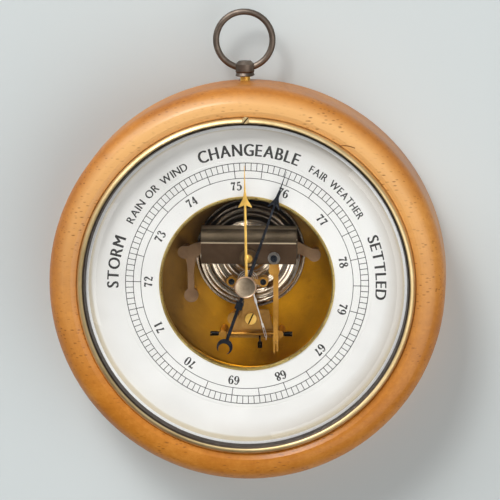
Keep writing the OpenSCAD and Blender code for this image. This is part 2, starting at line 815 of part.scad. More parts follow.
module rocker_shaft() {
    color("darkgoldenrod") hung() difference() {
        union() {
            along_x(-rocker_y, rocker_z, rocker_x0) cylinder(r = rocker_r, h = rocker_x1 - rocker_x0);
            rocker_arm(chain_x - arm_t / 2 - 0.8, chain_arm + 0.6, arm_lean);
            along_x(chain_pin_y, chain_pin_z, chain_x - arm_t / 2 - 0.8) cylinder(r = 0.35, h = 1.6);
            rocker_arm(link_arm_x, link_arm + 0.6, 90 + arm_lean);
            along_x(-link_y, link_z, link_arm_x) cylinder(r = link_pin_r, h = lever_x + 1 - link_arm_x);
        }
        along_x(-rocker_y, rocker_z, rocker_x0 - eps)
            cylinder(r = pivot_tip_r + run_gap, h = pivot_tip_len + 0.2);
        along_x(-rocker_y, rocker_z, rocker_x1 - pivot_tip_len - 0.2)
            cylinder(r = pivot_tip_r + run_gap, h = pivot_tip_len + 0.2 + eps);
    }
}
chain_pin_y = -rocker_y - chain_arm * sin(arm_lean);
chain_pin_z = rocker_z + chain_arm * cos(arm_lean);

module rocker_weight() {
    color("darkslategray") hung() difference() {
        union() {
            rocker_arm(weight_x - arm_t / 2, weight_arm, 90 + arm_lean);
            translate([weight_x, -rocker_y, rocker_z]) rotate([90 + arm_lean, 0, 0])
                translate([0, 0, weight_arm - 1.4]) cylinder(r = 1.1, h = 2.6);
        }
        along_x(-rocker_y, rocker_z, weight_x - 2) cylinder(r = rocker_r + 0.02, h = 4);
    }
}

// Chain as a narrow strap of round links, from the rocker's pin to the side of the drum
chain_from = [chain_x, chain_pin_y + 0.7];
chain_to = [drum_r + chain_r, 0];
chain_links = 22;
hook_from_drum = 9.4;

module chain() {
    run = chain_to - chain_from;
    step = norm(run) / chain_links;
    color("silver") hung() at(chain_from, chain_z) rotate([0, 0, atan2(run[1], run[0])]) union() {
        translate([0, -chain_r * 0.45, -chain_r * 0.6]) cube([norm(run), chain_r * 0.9, chain_r * 1.2]);
        for (i = [1:chain_links - 1]) translate([step * i, 0, -chain_r])
            cylinder(r = chain_r, h = chain_r * 2, $fn = 12);
        translate([norm(run) - hook_from_drum, 0, -chain_r]) linear_extrude(chain_r * 2)
            polygon([[-1.7, 0], [0, 0.6], [1.7, 0], [0, -0.6]]);
    }
}

module pivot_posts() {
    color("darkgoldenrod") hung() for (x = [post_left_x, post_right_x]) difference() {
        at([x, -rocker_y], pan_floor) cylinder(r = post_r, h = post_top - pan_floor);
        along_x(-rocker_y, rocker_z, x - 3) cylinder(r = pivot_screw_r + 0.02, h = 6);
    }
}

// Two screws whose thin tips carry the ends of the rocker's shaft
module pivot_screw() {
    inner = post_r + side_gap - 0.1;
    union() {
        translate([0, 0, inner - eps]) cylinder(r = pivot_tip_r, h = pivot_tip_len + 0.1);
        translate([0, 0, -post_r - 1]) cylinder(r = pivot_screw_r, h = inner + post_r + 1);
        translate([0, 0, -post_r - pivot_screw_out]) difference() {
            cylinder(r = pivot_screw_r + 0.2, h = pivot_screw_out - 0.6);
            translate([-3, -0.2, -eps]) cube([6, 0.4, 0.8]);
        }
    }
}

module pivot_screws() {
    color("black") hung() union() {
        along_x(-rocker_y, rocker_z, post_left_x) pivot_screw();
        translate([post_right_x, -rocker_y, rocker_z]) rotate([0, -90, 0]) pivot_screw();
    }
}

// Regulator plate and cage

plate_outline = [[-8.7, -27.5], [12.2, -27.5], [9, -14.4], [-3.7, -14.4]];
pillar_spots = [[-7, -18.8], [7.6, -20]];
pillar_r = 2.1;
plate_lobe_r = 2.9;

module regulator_plate() {
    color("darkgoldenrod") hung() translate([0, 0, plate_z]) linear_extrude(plate_t) union() {
        polygon(plate_outline);
        translate(pillar_spots[0]) circle(r = plate_lobe_r);
    }
}

module plate_rib() {
    color("goldenrod") hung() translate([-3.5, -26.3, plate_z + plate_t]) cube([14.8, 2.4, 0.9]);
}

module regulator_pillars() {
    color("goldenrod") hung() for (p = pillar_spots)
        at(p, pan_floor) cylinder(r = pillar_r, h = plate_z - pan_floor);
}

// Tapering plate from its foot up to the arbor, with an ear for a screw on each side
module cage_outline(bottom, foot_w, top_w) {
    middle = cock_foot[0] + 0.2;
    polygon([[middle - foot_w / 2, bottom], [middle + foot_w / 2, bottom],
        [middle + foot_w * 0.35, -14], [0.9 + top_w / 2, -8.2], [top_w / 2, 1.2],
        [-top_w / 2, 1.2], [0.5 - top_w / 2, -9], [middle - foot_w * 0.46, -14]]);
    translate([-cage_x, cage_y - 1.3]) square([2 * cage_x, 2.6]);
    for (s = [-1, 1]) translate([s * cage_x, cage_y]) circle(r = cage_ear_r - 0.2);
}

module cage_plate() {
    color("goldenrod") hung() translate([0, 0, cage_z]) difference() {
        linear_extrude(cage_t) cage_outline(cock_foot[1] - cock_pillar_r, 6, 4);
        translate([0, 0, -eps]) cylinder(r = pivot_r + run_gap, h = cage_t + 2 * eps);
        at(cock_foot, -eps) cylinder(r = cock_pillar_r - 0.5 + seat_gap / 2, h = cage_t + 2 * eps);
    }
}

module cage_pillars() {
    color("goldenrod") hung() for (s = [-1, 1])
        at([s * cage_x, cage_y], cage_z + cage_t) difference() {
            cylinder(r = cage_pillar_r, h = cock_z - cage_z - cage_t);
            translate([0, 0, cock_z - cage_z - cage_t - 2.2]) cylinder(r = 0.8, h = 2.2 + eps);
        }
}

module cock_pillar() {
    low = plate_z + plate_t;
    color("goldenrod") hung() at(cock_foot) difference() {
        union() {
            translate([0, 0, low]) cylinder(r = cock_pillar_r, h = cage_z - low);
            translate([0, 0, cage_z - eps]) cylinder(r = cock_pillar_r - 0.5, h = cage_t + 2 * eps);
            translate([0, 0, cage_z + cage_t]) cylinder(r = cock_pillar_r, h = cock_z - cage_z - cage_t);
        }
        translate([0, 0, cock_z - 3.2]) cylinder(r = 1.1, h = 3.2 + eps);
    }
}

module cock() {
    color("darkgoldenrod") hung() translate([0, 0, cock_z]) difference() {
        linear_extrude(cock_t) cage_outline(cock_bottom, 9, 4);
        translate([0, 0, -eps]) cylinder(r = arbor_r + run_gap, h = cock_t + 2 * eps);
        at(cock_foot, -eps) cylinder(r = 1 + seat_gap, h = cock_t + 2 * eps);
        for (s = [-1, 1]) at([s * cage_x, cage_y], -eps) cylinder(r = 0.7 + seat_gap, h = cock_t + 2 * eps);
    }
}

module cock_screw() {
    color("gold") hung() at(cock_foot, cock_z + cock_t) slotted_screw(2.6, 1.4, 1, cock_t + 3, 65);
}

module cage_washers() {
    color("silver") hung() for (s = [-1, 1]) at([s * cage_x, cage_y], cock_z + cock_t) difference() {
        cylinder(r = cage_ear_r, h = 0.5);
        translate([0, 0, -eps]) cylinder(r = 0.7 + seat_gap, h = 0.5 + 2 * eps);
    }
}

module cage_screws() {
    color("midnightblue") hung() for (s = [-1, 1])
        at([s * cage_x, cage_y], cock_z + cock_t + 0.5)
            slotted_screw(1.4, 0.9, 0.7, cock_t + 0.5 + 2, 30 + 50 * s);
}

// Hairspring: an even spiral, wound as one closed tube

hair_count = hair_turns * hair_rings;
hair_pitch = (hair_r1 - hair_r0) / hair_turns;

function hair_point(i) =
    let (t = i / hair_count, a = -90 - 360 * hair_turns * (1 - t), r = hair_r0 + (hair_r1 - hair_r0) * t)
    [r * cos(a), r * sin(a), hair_z];
function hair_heading(i) =
    let (p = hair_point(i - 0.5), q = hair_point(i + 0.5))
    atan2(q[1] - p[1], q[0] - p[0]);
function hair_ring(i) =
    let (c = hair_point(i), h = hair_heading(i))
    [for (k = [0:hair_sides - 1])
        let (a = 360 * k / hair_sides)
        c + [-sin(h) * cos(a) * hair_wire, cos(h) * cos(a) * hair_wire, sin(a) * hair_wire]];

// Least gap between one turn and the next, taken on the points themselves
hair_gap = min([for (i = [0:hair_count - hair_rings])
    norm(hair_point(i + hair_rings) - hair_point(i))]) - 2 * hair_wire;
echo(hairspring_least_gap_mm = hair_gap);

module hairspring() {
    points = [for (i = [0:hair_count]) each hair_ring(i)];
    sides = [for (i = [0:hair_count - 1], k = [0:hair_sides - 1])
        let (n = (k + 1) % hair_sides, a = i * hair_sides + k, b = i * hair_sides + n)
        each [[a, b, b + hair_sides], [a, b + hair_sides, a + hair_sides]]];
    ends = [for (k = [1:hair_sides - 2])
        let (last = hair_count * hair_sides)
        each [[0, k + 1, k], [last, last + k, last + k + 1]]];
    color("steelblue") hung() polyhedron(points, concat(sides, ends));
}

module hairspring_stud() {
    color("goldenrod") hung() at([0, -hair_r1 - hair_wire - 0.7], cage_z + cage_t)
        cylinder(r = 0.65, h = hair_z + 0.5 - cage_z - cage_t);
}

// Hanger

// Puts a piece on the middle line of the hanger, with its own Z pointing out of the case
module on_hanger(y)
    hung() rotate([0, 0, hanger_lean]) translate([0, y, hanger_z]) rotate([-90, 0, 0]) children();

module hanger_stem() {
    pin_len = ring_axis_y - ring_bore_r - 0.35 - neck_top;
    color("gold") on_hanger(neck_base) union() {
        cylinder(r = stem_screw_r, h = neck_seat - neck_base + eps);
        translate([0, 0, neck_seat - neck_base])
            cylinder(d = neck_d, h = neck_top + skirt_recess - neck_seat);
        translate([0, 0, neck_top - neck_base]) cylinder(r = 1.2, h = pin_len);
    }
}

module pommel() {
    r = pommel_d / 2;
    bore_len = ring_axis_y - ring_bore_r - 0.25 - pommel_base;
    color("dimgray") on_hanger(pommel_base) difference() {
        rotate_extrude() polygon([
            [0, skirt_recess],
            [neck_d / 2 + side_gap, skirt_recess],
            [r - 0.7, 0],
            [r, 0.4],
            [r - 0.5, skirt_h - 0.4],
            [r - 0.15, skirt_h],
            [r, skirt_h + 0.4],
            [r, skirt_h + pommel_h - 1.5],
            [r - 1.7, skirt_h + pommel_h],
            [0, skirt_h + pommel_h]]);
        translate([0, 0, -eps]) cylinder(r = 1.2 + run_gap, h = bore_len);
        translate([-r - 1, 0, ring_axis_y - pommel_base]) rotate([0, 90, 0])
            cylinder(r = ring_bore_r, h = 2 * r + 2);
    }
}

module hanging_ring() {
    color("dimgray") hung() rotate([0, 0, hanger_lean]) translate([0, ring_mid_y, hanger_z])
        rotate_extrude() translate([ring_r, 0]) circle(d = ring_wire, $fn = 32);
}

wood_case();
case_screws();
movement_pan();
dial_plate();
dial_opening_ring();
glass_seat_ring();
glass();
bezel();
bezel_screw();
set_hand_knob();
knob_bush();
set_hand();
set_hand_collet();
hand_arbor();
indicating_hand();
tail_block();
adjusting_screw();
capsule_foot();
capsule_base();
capsule_diaphragm();
capsule_post();
post_nut();
post_screw();
bridge();
bridge_pillars();
main_spring();
spring_screws();
spring_leaf();
leaf_washer();
leaf_screw();
main_lever();
lever_link();
rocker_shaft();
rocker_weight();
chain();
pivot_posts();
pivot_screws();
regulator_plate();
plate_rib();
regulator_pillars();
cage_plate();
cage_pillars();
cock_pillar();
cock();
cock_screw();
cage_washers();
cage_screws();
hairspring();
hairspring_stud();
hanger_stem();
pommel();
hanging_ring();
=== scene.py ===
import math
import bpy
import bmesh
from mathutils import Matrix, Vector


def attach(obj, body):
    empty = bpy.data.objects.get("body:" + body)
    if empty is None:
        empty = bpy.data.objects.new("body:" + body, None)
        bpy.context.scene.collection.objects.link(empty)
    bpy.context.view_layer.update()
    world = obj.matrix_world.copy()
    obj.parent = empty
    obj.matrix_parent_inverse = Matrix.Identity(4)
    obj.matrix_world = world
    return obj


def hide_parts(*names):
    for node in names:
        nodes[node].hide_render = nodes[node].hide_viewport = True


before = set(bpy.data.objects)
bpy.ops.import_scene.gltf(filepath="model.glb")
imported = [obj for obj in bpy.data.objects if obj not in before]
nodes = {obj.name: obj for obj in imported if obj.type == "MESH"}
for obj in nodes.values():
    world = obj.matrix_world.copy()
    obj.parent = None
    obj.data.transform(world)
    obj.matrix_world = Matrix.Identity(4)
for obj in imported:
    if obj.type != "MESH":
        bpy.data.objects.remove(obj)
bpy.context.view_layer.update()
mm = 0.001
print("frame loaded,", len(nodes), "nodes")

# camera

cameraSettings = {
    "azimuth": 3.07,        # degrees to the right of straight on
    "elevation": 8.17,
    "distance": 2.0,
    "aim": (0.00137, -0.034, 0.01545),
    "lens": 316.0,
    "sensor": 36.0,
    "farthest": 20.0,
}


def placeCamera(s):
    azimuth, elevation = math.radians(s["azimuth"]), math.radians(s["elevation"])
    level = math.cos(elevation)
    back = Vector((math.sin(azimuth) * level, -math.cos(azimuth) * level, math.sin(elevation)))
    camera = bpy.data.objects.new("camera", bpy.data.cameras.new("camera"))
    bpy.context.scene.collection.objects.link(camera)
    camera.data.lens = s["lens"]
    camera.data.sensor_width = s["sensor"]
    camera.location = Vector(s["aim"]) + back * s["distance"]
    camera.rotation_mode = "QUATERNION"
    camera.rotation_quaternion = (-back).to_track_quat("-Z", "Y")
    camera.data.clip_end = s["farthest"]
    bpy.context.scene.camera = camera


placeCamera(cameraSettings)
print("camera placed")


# node helpers

def freshMaterial(name):
    material = bpy.data.materials.new(name)
    material.use_nodes = True
    tree = material.node_tree
    return material, tree, tree.nodes["Principled BSDF"]


def put(tree, kind, inputs=None, **settings):
    node = tree.nodes.new(kind)
    for key, value in settings.items():
        setattr(node, key, value)
    for key, value in (inputs or {}).items():
        if isinstance(value, bpy.types.NodeSocket):
            tree.links.new(value, node.inputs[key])
        else:
            node.inputs[key].default_value = value
    return node


def objectPoint(tree, scale=(1, 1, 1), turn=(0, 0, 0), centre=(0, 0, 0)):
    where = put(tree, "ShaderNodeTexCoord").outputs["Object"]
    inputs = {"Vector": where, "Scale": scale, "Rotation": turn, "Location": centre}
    return put(tree, "ShaderNodeMapping", inputs).outputs[0]


def noise(tree, point, scale, detail=4.0, roughness=0.5, distortion=0.0):
    inputs = {"Vector": point, "Scale": scale, "Detail": detail,
              "Roughness": roughness, "Distortion": distortion}
    return put(tree, "ShaderNodeTexNoise", inputs).outputs[0]


def remap(tree, value, low, high, toLow=0.0, toHigh=1.0):
    inputs = {"Value": value, "From Min": low, "From Max": high, "To Min": toLow, "To Max": toHigh}
    return put(tree, "ShaderNodeMapRange", inputs).outputs[0]


def sums(tree, kind, a, b=0.0, c=0.0):
    return put(tree, "ShaderNodeMath", {0: a, 1: b, 2: c}, operation=kind).outputs[0]


def blendColours(tree, factor, first, second, how="MIX"):
    node = put(tree, "ShaderNodeMix", data_type="RGBA", blend_type=how)
    for index, value in ((0, factor), (6, first), (7, second)):
        if isinstance(value, bpy.types.NodeSocket):
            tree.links.new(value, node.inputs[index])
        else:
            node.inputs[index].default_value = value if index == 0 else (*value[:3], 1.0)
    return node.outputs[2]


def spread(tree, factor, stops):
    ramp = put(tree, "ShaderNodeValToRGB", {"Fac": factor})
    while len(ramp.color_ramp.elements) < len(stops):
        ramp.color_ramp.elements.new(0.5)
    for element, (place, colour) in zip(ramp.color_ramp.elements, stops):
        element.position = place
        element.color = (*colour, 1.0)
    return ramp.outputs[0]


def bumpUp(tree, shader, height, strength, distance):
    bump = put(tree, "ShaderNodeBump", {"Height": height, "Strength": strength, "Distance": distance})
    tree.links.new(bump.outputs[0], shader.inputs["Normal"])


# distance from the dial's axis, or from one beside it, for turned work
def turnedPoint(tree, centreX=0.0, centreZ=0.0):
    flat = objectPoint(tree, scale=(1, 0, 1), centre=(-centreX, 0, -centreZ))
    return put(tree, "ShaderNodeVectorMath", {0: flat}, operation="LENGTH").outputs["Value"]


def dress(material, *names):
    for name in names:
        for slot in nodes[name].material_slots:
            slot.material = material


# metals

# 1 along a screw's slot: centre x and z, turn in degrees and half width
def slotShade(tree, centreX, centreZ, turn, halfWidth):
    moved = objectPoint(tree, centre=(-centreX, 0, -centreZ))
    lean = math.radians(turn)
    sideways = (-math.sin(lean), 0, math.cos(lean))
    across = put(tree, "ShaderNodeVectorMath", {0: moved, 1: sideways}, operation="DOT_PRODUCT")
    off = sums(tree, "ABSOLUTE", across.outputs["Value"])
    return remap(tree, off, halfWidth * 0.7, halfWidth * 1.1, 1.0, 0.0)


slotShadow = (0.03, 0.018, 0.008)


def metalColour(tree, shader, point, fine, s):
    cloud = noise(tree, point, s["cloudScale"], 5.0, 0.6, 0.4)
    base = spread(tree, cloud, ((0.30, s["dark"]), (0.55, s["middle"]), (0.78, s["light"])))
    spots = remap(tree, fine, 0.60, 0.75)
    colour = blendColours(tree, sums(tree, "MULTIPLY", spots, s["spotting"]), base, s["tarnishAndLipShade"])
    if "paintedShade" in s:       # painted shade to the left and the top
        apart = put(tree, "ShaderNodeSeparateXYZ", {0: point})
        (leftFrom, leftTo, leftShare), (topFrom, topTo, topShare) = s["paintedShade"]
        left = remap(tree, apart.outputs[0], leftFrom, leftTo, 0.0, leftShare)
        top = remap(tree, apart.outputs[2], topFrom, topTo, 0.0, topShare)
        colour = blendColours(tree, sums(tree, "MAXIMUM", left, top), colour, s["shadeColour"])
    if "rim" in s:      # brighter copper edge on a turned head, partly its copper and partly a painted highlight on the lip
        outside = remap(tree, turnedPoint(tree), s["rim"], s["rim"] + 0.0002)
        colour = blendColours(tree, outside, colour, s["rimColour"])
    if "slot" in s:     # shade in a screw's slot
        colour = blendColours(tree, slotShade(tree, *s["slot"]), colour, slotShadow)
    if "lip" in s:      # painted shade on the inner slope of a ring, up to this radius
        inside = remap(tree, turnedPoint(tree), s["lip"], s["lip"] + 0.0003, 1.0, 0.0)
        colour = blendColours(tree, inside, colour, s["tarnishAndLipShade"])
    for low, high in s.get("highlightLines", ()):      # painted highlights, as lines between these heights; they also take the metal's mirror away
        height = put(tree, "ShaderNodeSeparateXYZ", {0: point}).outputs[2]
        off = sums(tree, "ABSOLUTE", sums(tree, "SUBTRACT", height, (low + high) / 2))
        line = remap(tree, off, (high - low) * 0.3, (high - low) * 0.6, 0.85, 0.0)
        colour = blendColours(tree, line, colour, s["lighterTone"])
        tree.links.new(sums(tree, "SUBTRACT", 1.0, line), shader.inputs["Metallic"])
    return colour


# turning marks round the axis, or brushing along the grain
def metalRelief(tree, s):
    if "rings" not in s:
        grainPoint = objectPoint(tree, scale=s.get("grain", (1, 1, 1)))
        return noise(tree, grainPoint, s["fineScale"] * 1.5, 4.0, 0.6)
    radius = turnedPoint(tree, *s.get("centre", (0.0, 0.0)))
    line = put(tree, "ShaderNodeCombineXYZ", {0: radius}).outputs[0]
    marks = noise(tree, line, s["rings"], 3.0, 0.6)
    if "pitch" not in s:
        return marks
    wave = sums(tree, "SINE", sums(tree, "MULTIPLY", radius, 2 * math.pi / s["pitch"]))
    return sums(tree, "MULTIPLY_ADD", wave, 0.8, sums(tree, "MULTIPLY", marks, 0.12))


def turnedMetal(name, s):
    material, tree, shader = freshMaterial(name)
    point = objectPoint(tree)
    fine = noise(tree, point, s["fineScale"], 6.0, 0.7)
    shader.inputs["Metallic"].default_value = 1.0
    tree.links.new(metalColour(tree, shader, point, fine, s), shader.inputs["Base Color"])
    smooth, rough = s["rough"]
    tree.links.new(remap(tree, fine, 0.35, 0.75, smooth, rough), shader.inputs["Roughness"])
    bumpUp(tree, shader, metalRelief(tree, s), s["bump"], 0.0002)
    return material


metals = {
    "panBrass": {
        "dark": (0.30, 0.130, 0.010), "middle": (0.60, 0.275, 0.014), "light": (0.90, 0.42, 0.020),
        "tarnishAndLipShade": (0.12, 0.05, 0.008), "shadeColour": (0.13, 0.080, 0.040),
        "cloudScale": 26.0, "fineScale": 240.0, "spotting": 0.4, "rough": (0.38, 0.54), "bump": 0.30,
        "rings": 900.0,
        # painted shade towards the pan's left and its top
        "paintedShade": ((-0.010, -0.036, 0.72), (0.004, 0.024, 0.72)),
    },
    "brightBrass": {
        "dark": (0.72, 0.42, 0.085), "middle": (0.92, 0.58, 0.145), "light": (0.98, 0.70, 0.24),
        "tarnishAndLipShade": (0.34, 0.18, 0.05),
        "cloudScale": 160.0, "fineScale": 900.0, "spotting": 0.1, "rough": (0.34, 0.44), "bump": 0.04,
    },
    "nutBrass": {
        "dark": (0.10, 0.065, 0.036), "middle": (0.16, 0.105, 0.060), "light": (0.26, 0.175, 0.10),
        "tarnishAndLipShade": (0.05, 0.03, 0.02),
        "cloudScale": 160.0, "fineScale": 800.0, "spotting": 0.3, "rough": (0.30, 0.42), "bump": 0.08,
    },
    "knobBrass": {
        "dark": (0.28, 0.215, 0.145), "middle": (0.42, 0.33, 0.23), "light": (0.56, 0.45, 0.33),
        "tarnishAndLipShade": (0.16, 0.11, 0.07),
        "cloudScale": 220.0, "fineScale": 1100.0, "spotting": 0.5, "rough": (0.30, 0.42), "bump": 0.10,
        "rings": 3000.0,
        # copper edge with a painted highlight round the knob's lip
        "rim": 0.0043, "rimColour": (0.78, 0.53, 0.36),
    },
    "ringBrass": {
        "dark": (0.42, 0.29, 0.085), "middle": (0.60, 0.44, 0.15), "light": (0.76, 0.60, 0.26),
        "tarnishAndLipShade": (0.20, 0.13, 0.05),
        "cloudScale": 90.0, "fineScale": 700.0, "spotting": 0.2, "rough": (0.26, 0.38), "bump": 0.04,
    },
    "bezelBrass": {
        "dark": (0.58, 0.43, 0.21), "middle": (0.76, 0.58, 0.31), "light": (0.88, 0.72, 0.42),
        # this dark tarnish colour is also the painted shade on the bezel's inner slope
        "tarnishAndLipShade": (0.070, 0.052, 0.040),
        "cloudScale": 40.0, "fineScale": 500.0, "spotting": 0.15, "rough": (0.42, 0.54), "bump": 0.06,
        "rings": 1400.0,
        # painted shade on the bezel's inner slope
        "lip": 0.0745,
    },
    "satinBrass": {
        "dark": (0.30, 0.135, 0.022), "middle": (0.48, 0.235, 0.045), "light": (0.62, 0.34, 0.085),
        "tarnishAndLipShade": (0.17, 0.08, 0.02),
        "cloudScale": 90.0, "fineScale": 620.0, "spotting": 0.4, "rough": (0.34, 0.50), "bump": 0.14,
        "grain": (6, 1, 0.6),
    },
    "darkBrass": {
        "dark": (0.28, 0.14, 0.035), "middle": (0.42, 0.22, 0.060), "light": (0.56, 0.32, 0.10),
        "tarnishAndLipShade": (0.12, 0.06, 0.02),
        "cloudScale": 90.0, "fineScale": 620.0, "spotting": 0.45, "rough": (0.36, 0.52), "bump": 0.14,
        "grain": (1, 1, 5),
    },
    "capsuleSilver": {
        "dark": (0.62, 0.50, 0.38), "middle": (0.84, 0.71, 0.56), "light": (0.97, 0.88, 0.76),
        "tarnishAndLipShade": (0.20, 0.14, 0.09), "shadeColour": (0.14, 0.105, 0.080),
        "cloudScale": 70.0, "fineScale": 420.0, "spotting": 0.35, "rough": (0.16, 0.26), "bump": 0.30,
        "rings": 1800.0, "pitch": 0.0018, "centre": (0.0006, 0.0113),
        # painted shade on the capsule's top
        "paintedShade": ((-0.030, -0.060, 0.0), (0.010, 0.022, 0.80)),
    },
    "springSteel": {
        "dark": (0.034, 0.025, 0.016), "middle": (0.058, 0.043, 0.028), "light": (0.092, 0.070, 0.048),
        # the lighter tone here is the colour of the painted highlight lines
        "tarnishAndLipShade": (0.03, 0.02, 0.012), "lighterTone": (0.52, 0.40, 0.27),
        "cloudScale": 60.0, "fineScale": 500.0, "spotting": 0.4, "rough": (0.46, 0.58), "bump": 0.12,
        "grain": (0.15, 3, 3),
        # painted highlight lines along the top of the spring's bend and the leaf's edge
        "highlightLines": ((0.0243, 0.0256), (0.0180, 0.0186)),
    },
    "polishedSteel": {
        "dark": (0.70, 0.68, 0.66), "middle": (0.86, 0.84, 0.82), "light": (0.94, 0.93, 0.92),
        "tarnishAndLipShade": (0.25, 0.22, 0.20),
        "cloudScale": 120.0, "fineScale": 800.0, "spotting": 0.3, "rough": (0.40, 0.52), "bump": 0.08,
    },
    "washerSteel": {
        "dark": (0.16, 0.15, 0.13), "middle": (0.24, 0.22, 0.20), "light": (0.34, 0.32, 0.29),
        "tarnishAndLipShade": (0.10, 0.07, 0.05),
        "cloudScale": 160.0, "fineScale": 800.0, "spotting": 0.3, "rough": (0.26, 0.40), "bump": 0.08,
    },
    "bluedSteel": {
        "dark": (0.020, 0.023, 0.030), "middle": (0.035, 0.040, 0.052), "light": (0.065, 0.073, 0.090),
        "tarnishAndLipShade": (0.03, 0.02, 0.02),
        "cloudScale": 120.0, "fineScale": 700.0, "spotting": 0.3, "rough": (0.26, 0.40), "bump": 0.08,
        "grain": (1, 1, 0.3),
    },
    "blackSteel": {
        "dark": (0.010, 0.010, 0.011), "middle": (0.020, 0.020, 0.021), "light": (0.040, 0.038, 0.036),
        "tarnishAndLipShade": (0.06, 0.04, 0.03),
        "cloudScale": 150.0, "fineScale": 700.0, "spotting": 0.3, "rough": (0.26, 0.42), "bump": 0.08,
    },
    "mattBronze": {
        "dark": (0.15, 0.086, 0.047), "middle": (0.215, 0.130, 0.074), "light": (0.29, 0.185, 0.112),
        "tarnishAndLipShade": (0.09, 0.055, 0.035),
        "cloudScale": 80.0, "fineScale": 520.0, "spotting": 0.45, "rough": (0.48, 0.62), "bump": 0.14,
        "grain": (3, 1, 1),
    },
    "leafSteel": {
        "dark": (0.046, 0.027, 0.016), "middle": (0.072, 0.044, 0.027), "light": (0.105, 0.067, 0.043),
        "tarnishAndLipShade": (0.04, 0.024, 0.015),
        "cloudScale": 80.0, "fineScale": 520.0, "spotting": 0.45, "rough": (0.42, 0.56), "bump": 0.10,
        "grain": (0.2, 3, 3),
    },
    "agedBronze": {
        "dark": (0.105, 0.082, 0.066), "middle": (0.165, 0.132, 0.108), "light": (0.27, 0.215, 0.17),
        "tarnishAndLipShade": (0.34, 0.25, 0.17),
        "cloudScale": 130.0, "fineScale": 600.0, "spotting": 0.25, "rough": (0.44, 0.56), "bump": 0.16,
    },
}


# centre of a CAD piece, seen from the front
def middleOf(name):
    corners = nodes[name].bound_box
    return (corners[0][0] + corners[6][0]) / 2, (corners[0][2] + corners[6][2]) / 2


metals["slottedBrass"] = dict(metals["brightBrass"], slot=(*middleOf("cock_screw"), 65.0, 0.00036))
metals["bezelScrewBrass"] = dict(metals["bezelBrass"], slot=(*middleOf("bezel_screw"), 50.0, 0.00030))
made = {name: turnedMetal(name, s) for name, s in metals.items()}
dress(made["slottedBrass"], "cock_screw")
dress(made["bezelScrewBrass"], "bezel_screw")
dress(made["ringBrass"], "dial_opening_ring")
dress(made["panBrass"], "movement_pan")
dress(made["brightBrass"], "set_hand", "post_screw", "hanger_stem")
dress(made["knobBrass"], "set_hand_knob", "knob_bush")
dress(made["bezelBrass"], "bezel")
dress(made["satinBrass"], "case_screws", "set_hand_collet", "adjusting_screw", "capsule_foot", "capsule_post",
      "bridge_pillars", "main_lever", "lever_link", "rocker_shaft", "pivot_posts", "plate_rib",
      "cage_pillars", "cock_pillar", "cage_washers", "hairspring_stud")
dress(made["darkBrass"], "regulator_plate", "regulator_pillars", "cage_plate", "cock")
dress(made["nutBrass"], "post_nut")
dress(made["capsuleSilver"], "capsule_base", "capsule_diaphragm")
dress(made["springSteel"], "main_spring")
dress(made["polishedSteel"], "hand_arbor", "hairspring", "chain")
dress(made["washerSteel"], "leaf_washer")
dress(made["bluedSteel"], "indicating_hand", "tail_block", "leaf_screw", "cage_screws", "spring_screws")
dress(made["blackSteel"], "pivot_screws", "rocker_weight")
dress(made["mattBronze"], "bridge")
dress(made["leafSteel"], "spring_leaf")
dress(made["agedBronze"], "pommel", "hanging_ring")
print("metals made")


# wood, dial, glass

woodSettings = {
    "deep": (0.35, 0.110, 0.008),
    "honey": (0.46, 0.160, 0.014),
    "pale": (0.58, 0.232, 0.034),
    "lighterTone": (0.74, 0.42, 0.16),         # paler crest: wear where hands have rubbed it, and a painted sheen
    "crest": (0.0815, 0.0072),          # radius of the crest and half the width of its paler band
    "pore": (0.13, 0.036, 0.005),
    "grainTurn": 0.35,      # radians that the plank's grain leans
    "varnish": 0.32,
    "varnishRoughness": 0.20,
    "specular": 0.20,
    "crackFrom": (0.0419, 0.0644),      # x and z where the hairline crack leaves the bezel
    "crackRun": 0.0076,
    "crackWidth": 0.00022,
    "crackBow": 0.0026,
    "crackSlope": -0.0008,
    "crackInFrontOf": -0.02,            # y, so that it isn't on the back
}


# 1 on the short hairline crack near the bezel, 0 elsewhere
def hairline(tree, s):
    apart = put(tree, "ShaderNodeSeparateXYZ", {0: objectPoint(tree)})
    fromX, fromZ = s["crackFrom"]
    along = remap(tree, apart.outputs[0], fromX, fromX + s["crackRun"])
    bow = sums(tree, "MULTIPLY", along, sums(tree, "SUBTRACT", 1.0, along))
    straight = sums(tree, "MULTIPLY_ADD", along, s["crackSlope"], fromZ)
    rise = sums(tree, "MULTIPLY_ADD", bow, s["crackBow"], straight)
    off = sums(tree, "ABSOLUTE", sums(tree, "SUBTRACT", apart.outputs[2], rise))
    front = sums(tree, "LESS_THAN", apart.outputs[1], s["crackInFrontOf"])
    ends = sums(tree, "MULTIPLY", remap(tree, bow, 0.0, 0.04), front)
    line = remap(tree, off, s["crackWidth"] * 0.5, s["crackWidth"] * 1.5, 1.0, 0.0)
    return sums(tree, "MULTIPLY", line, ends)


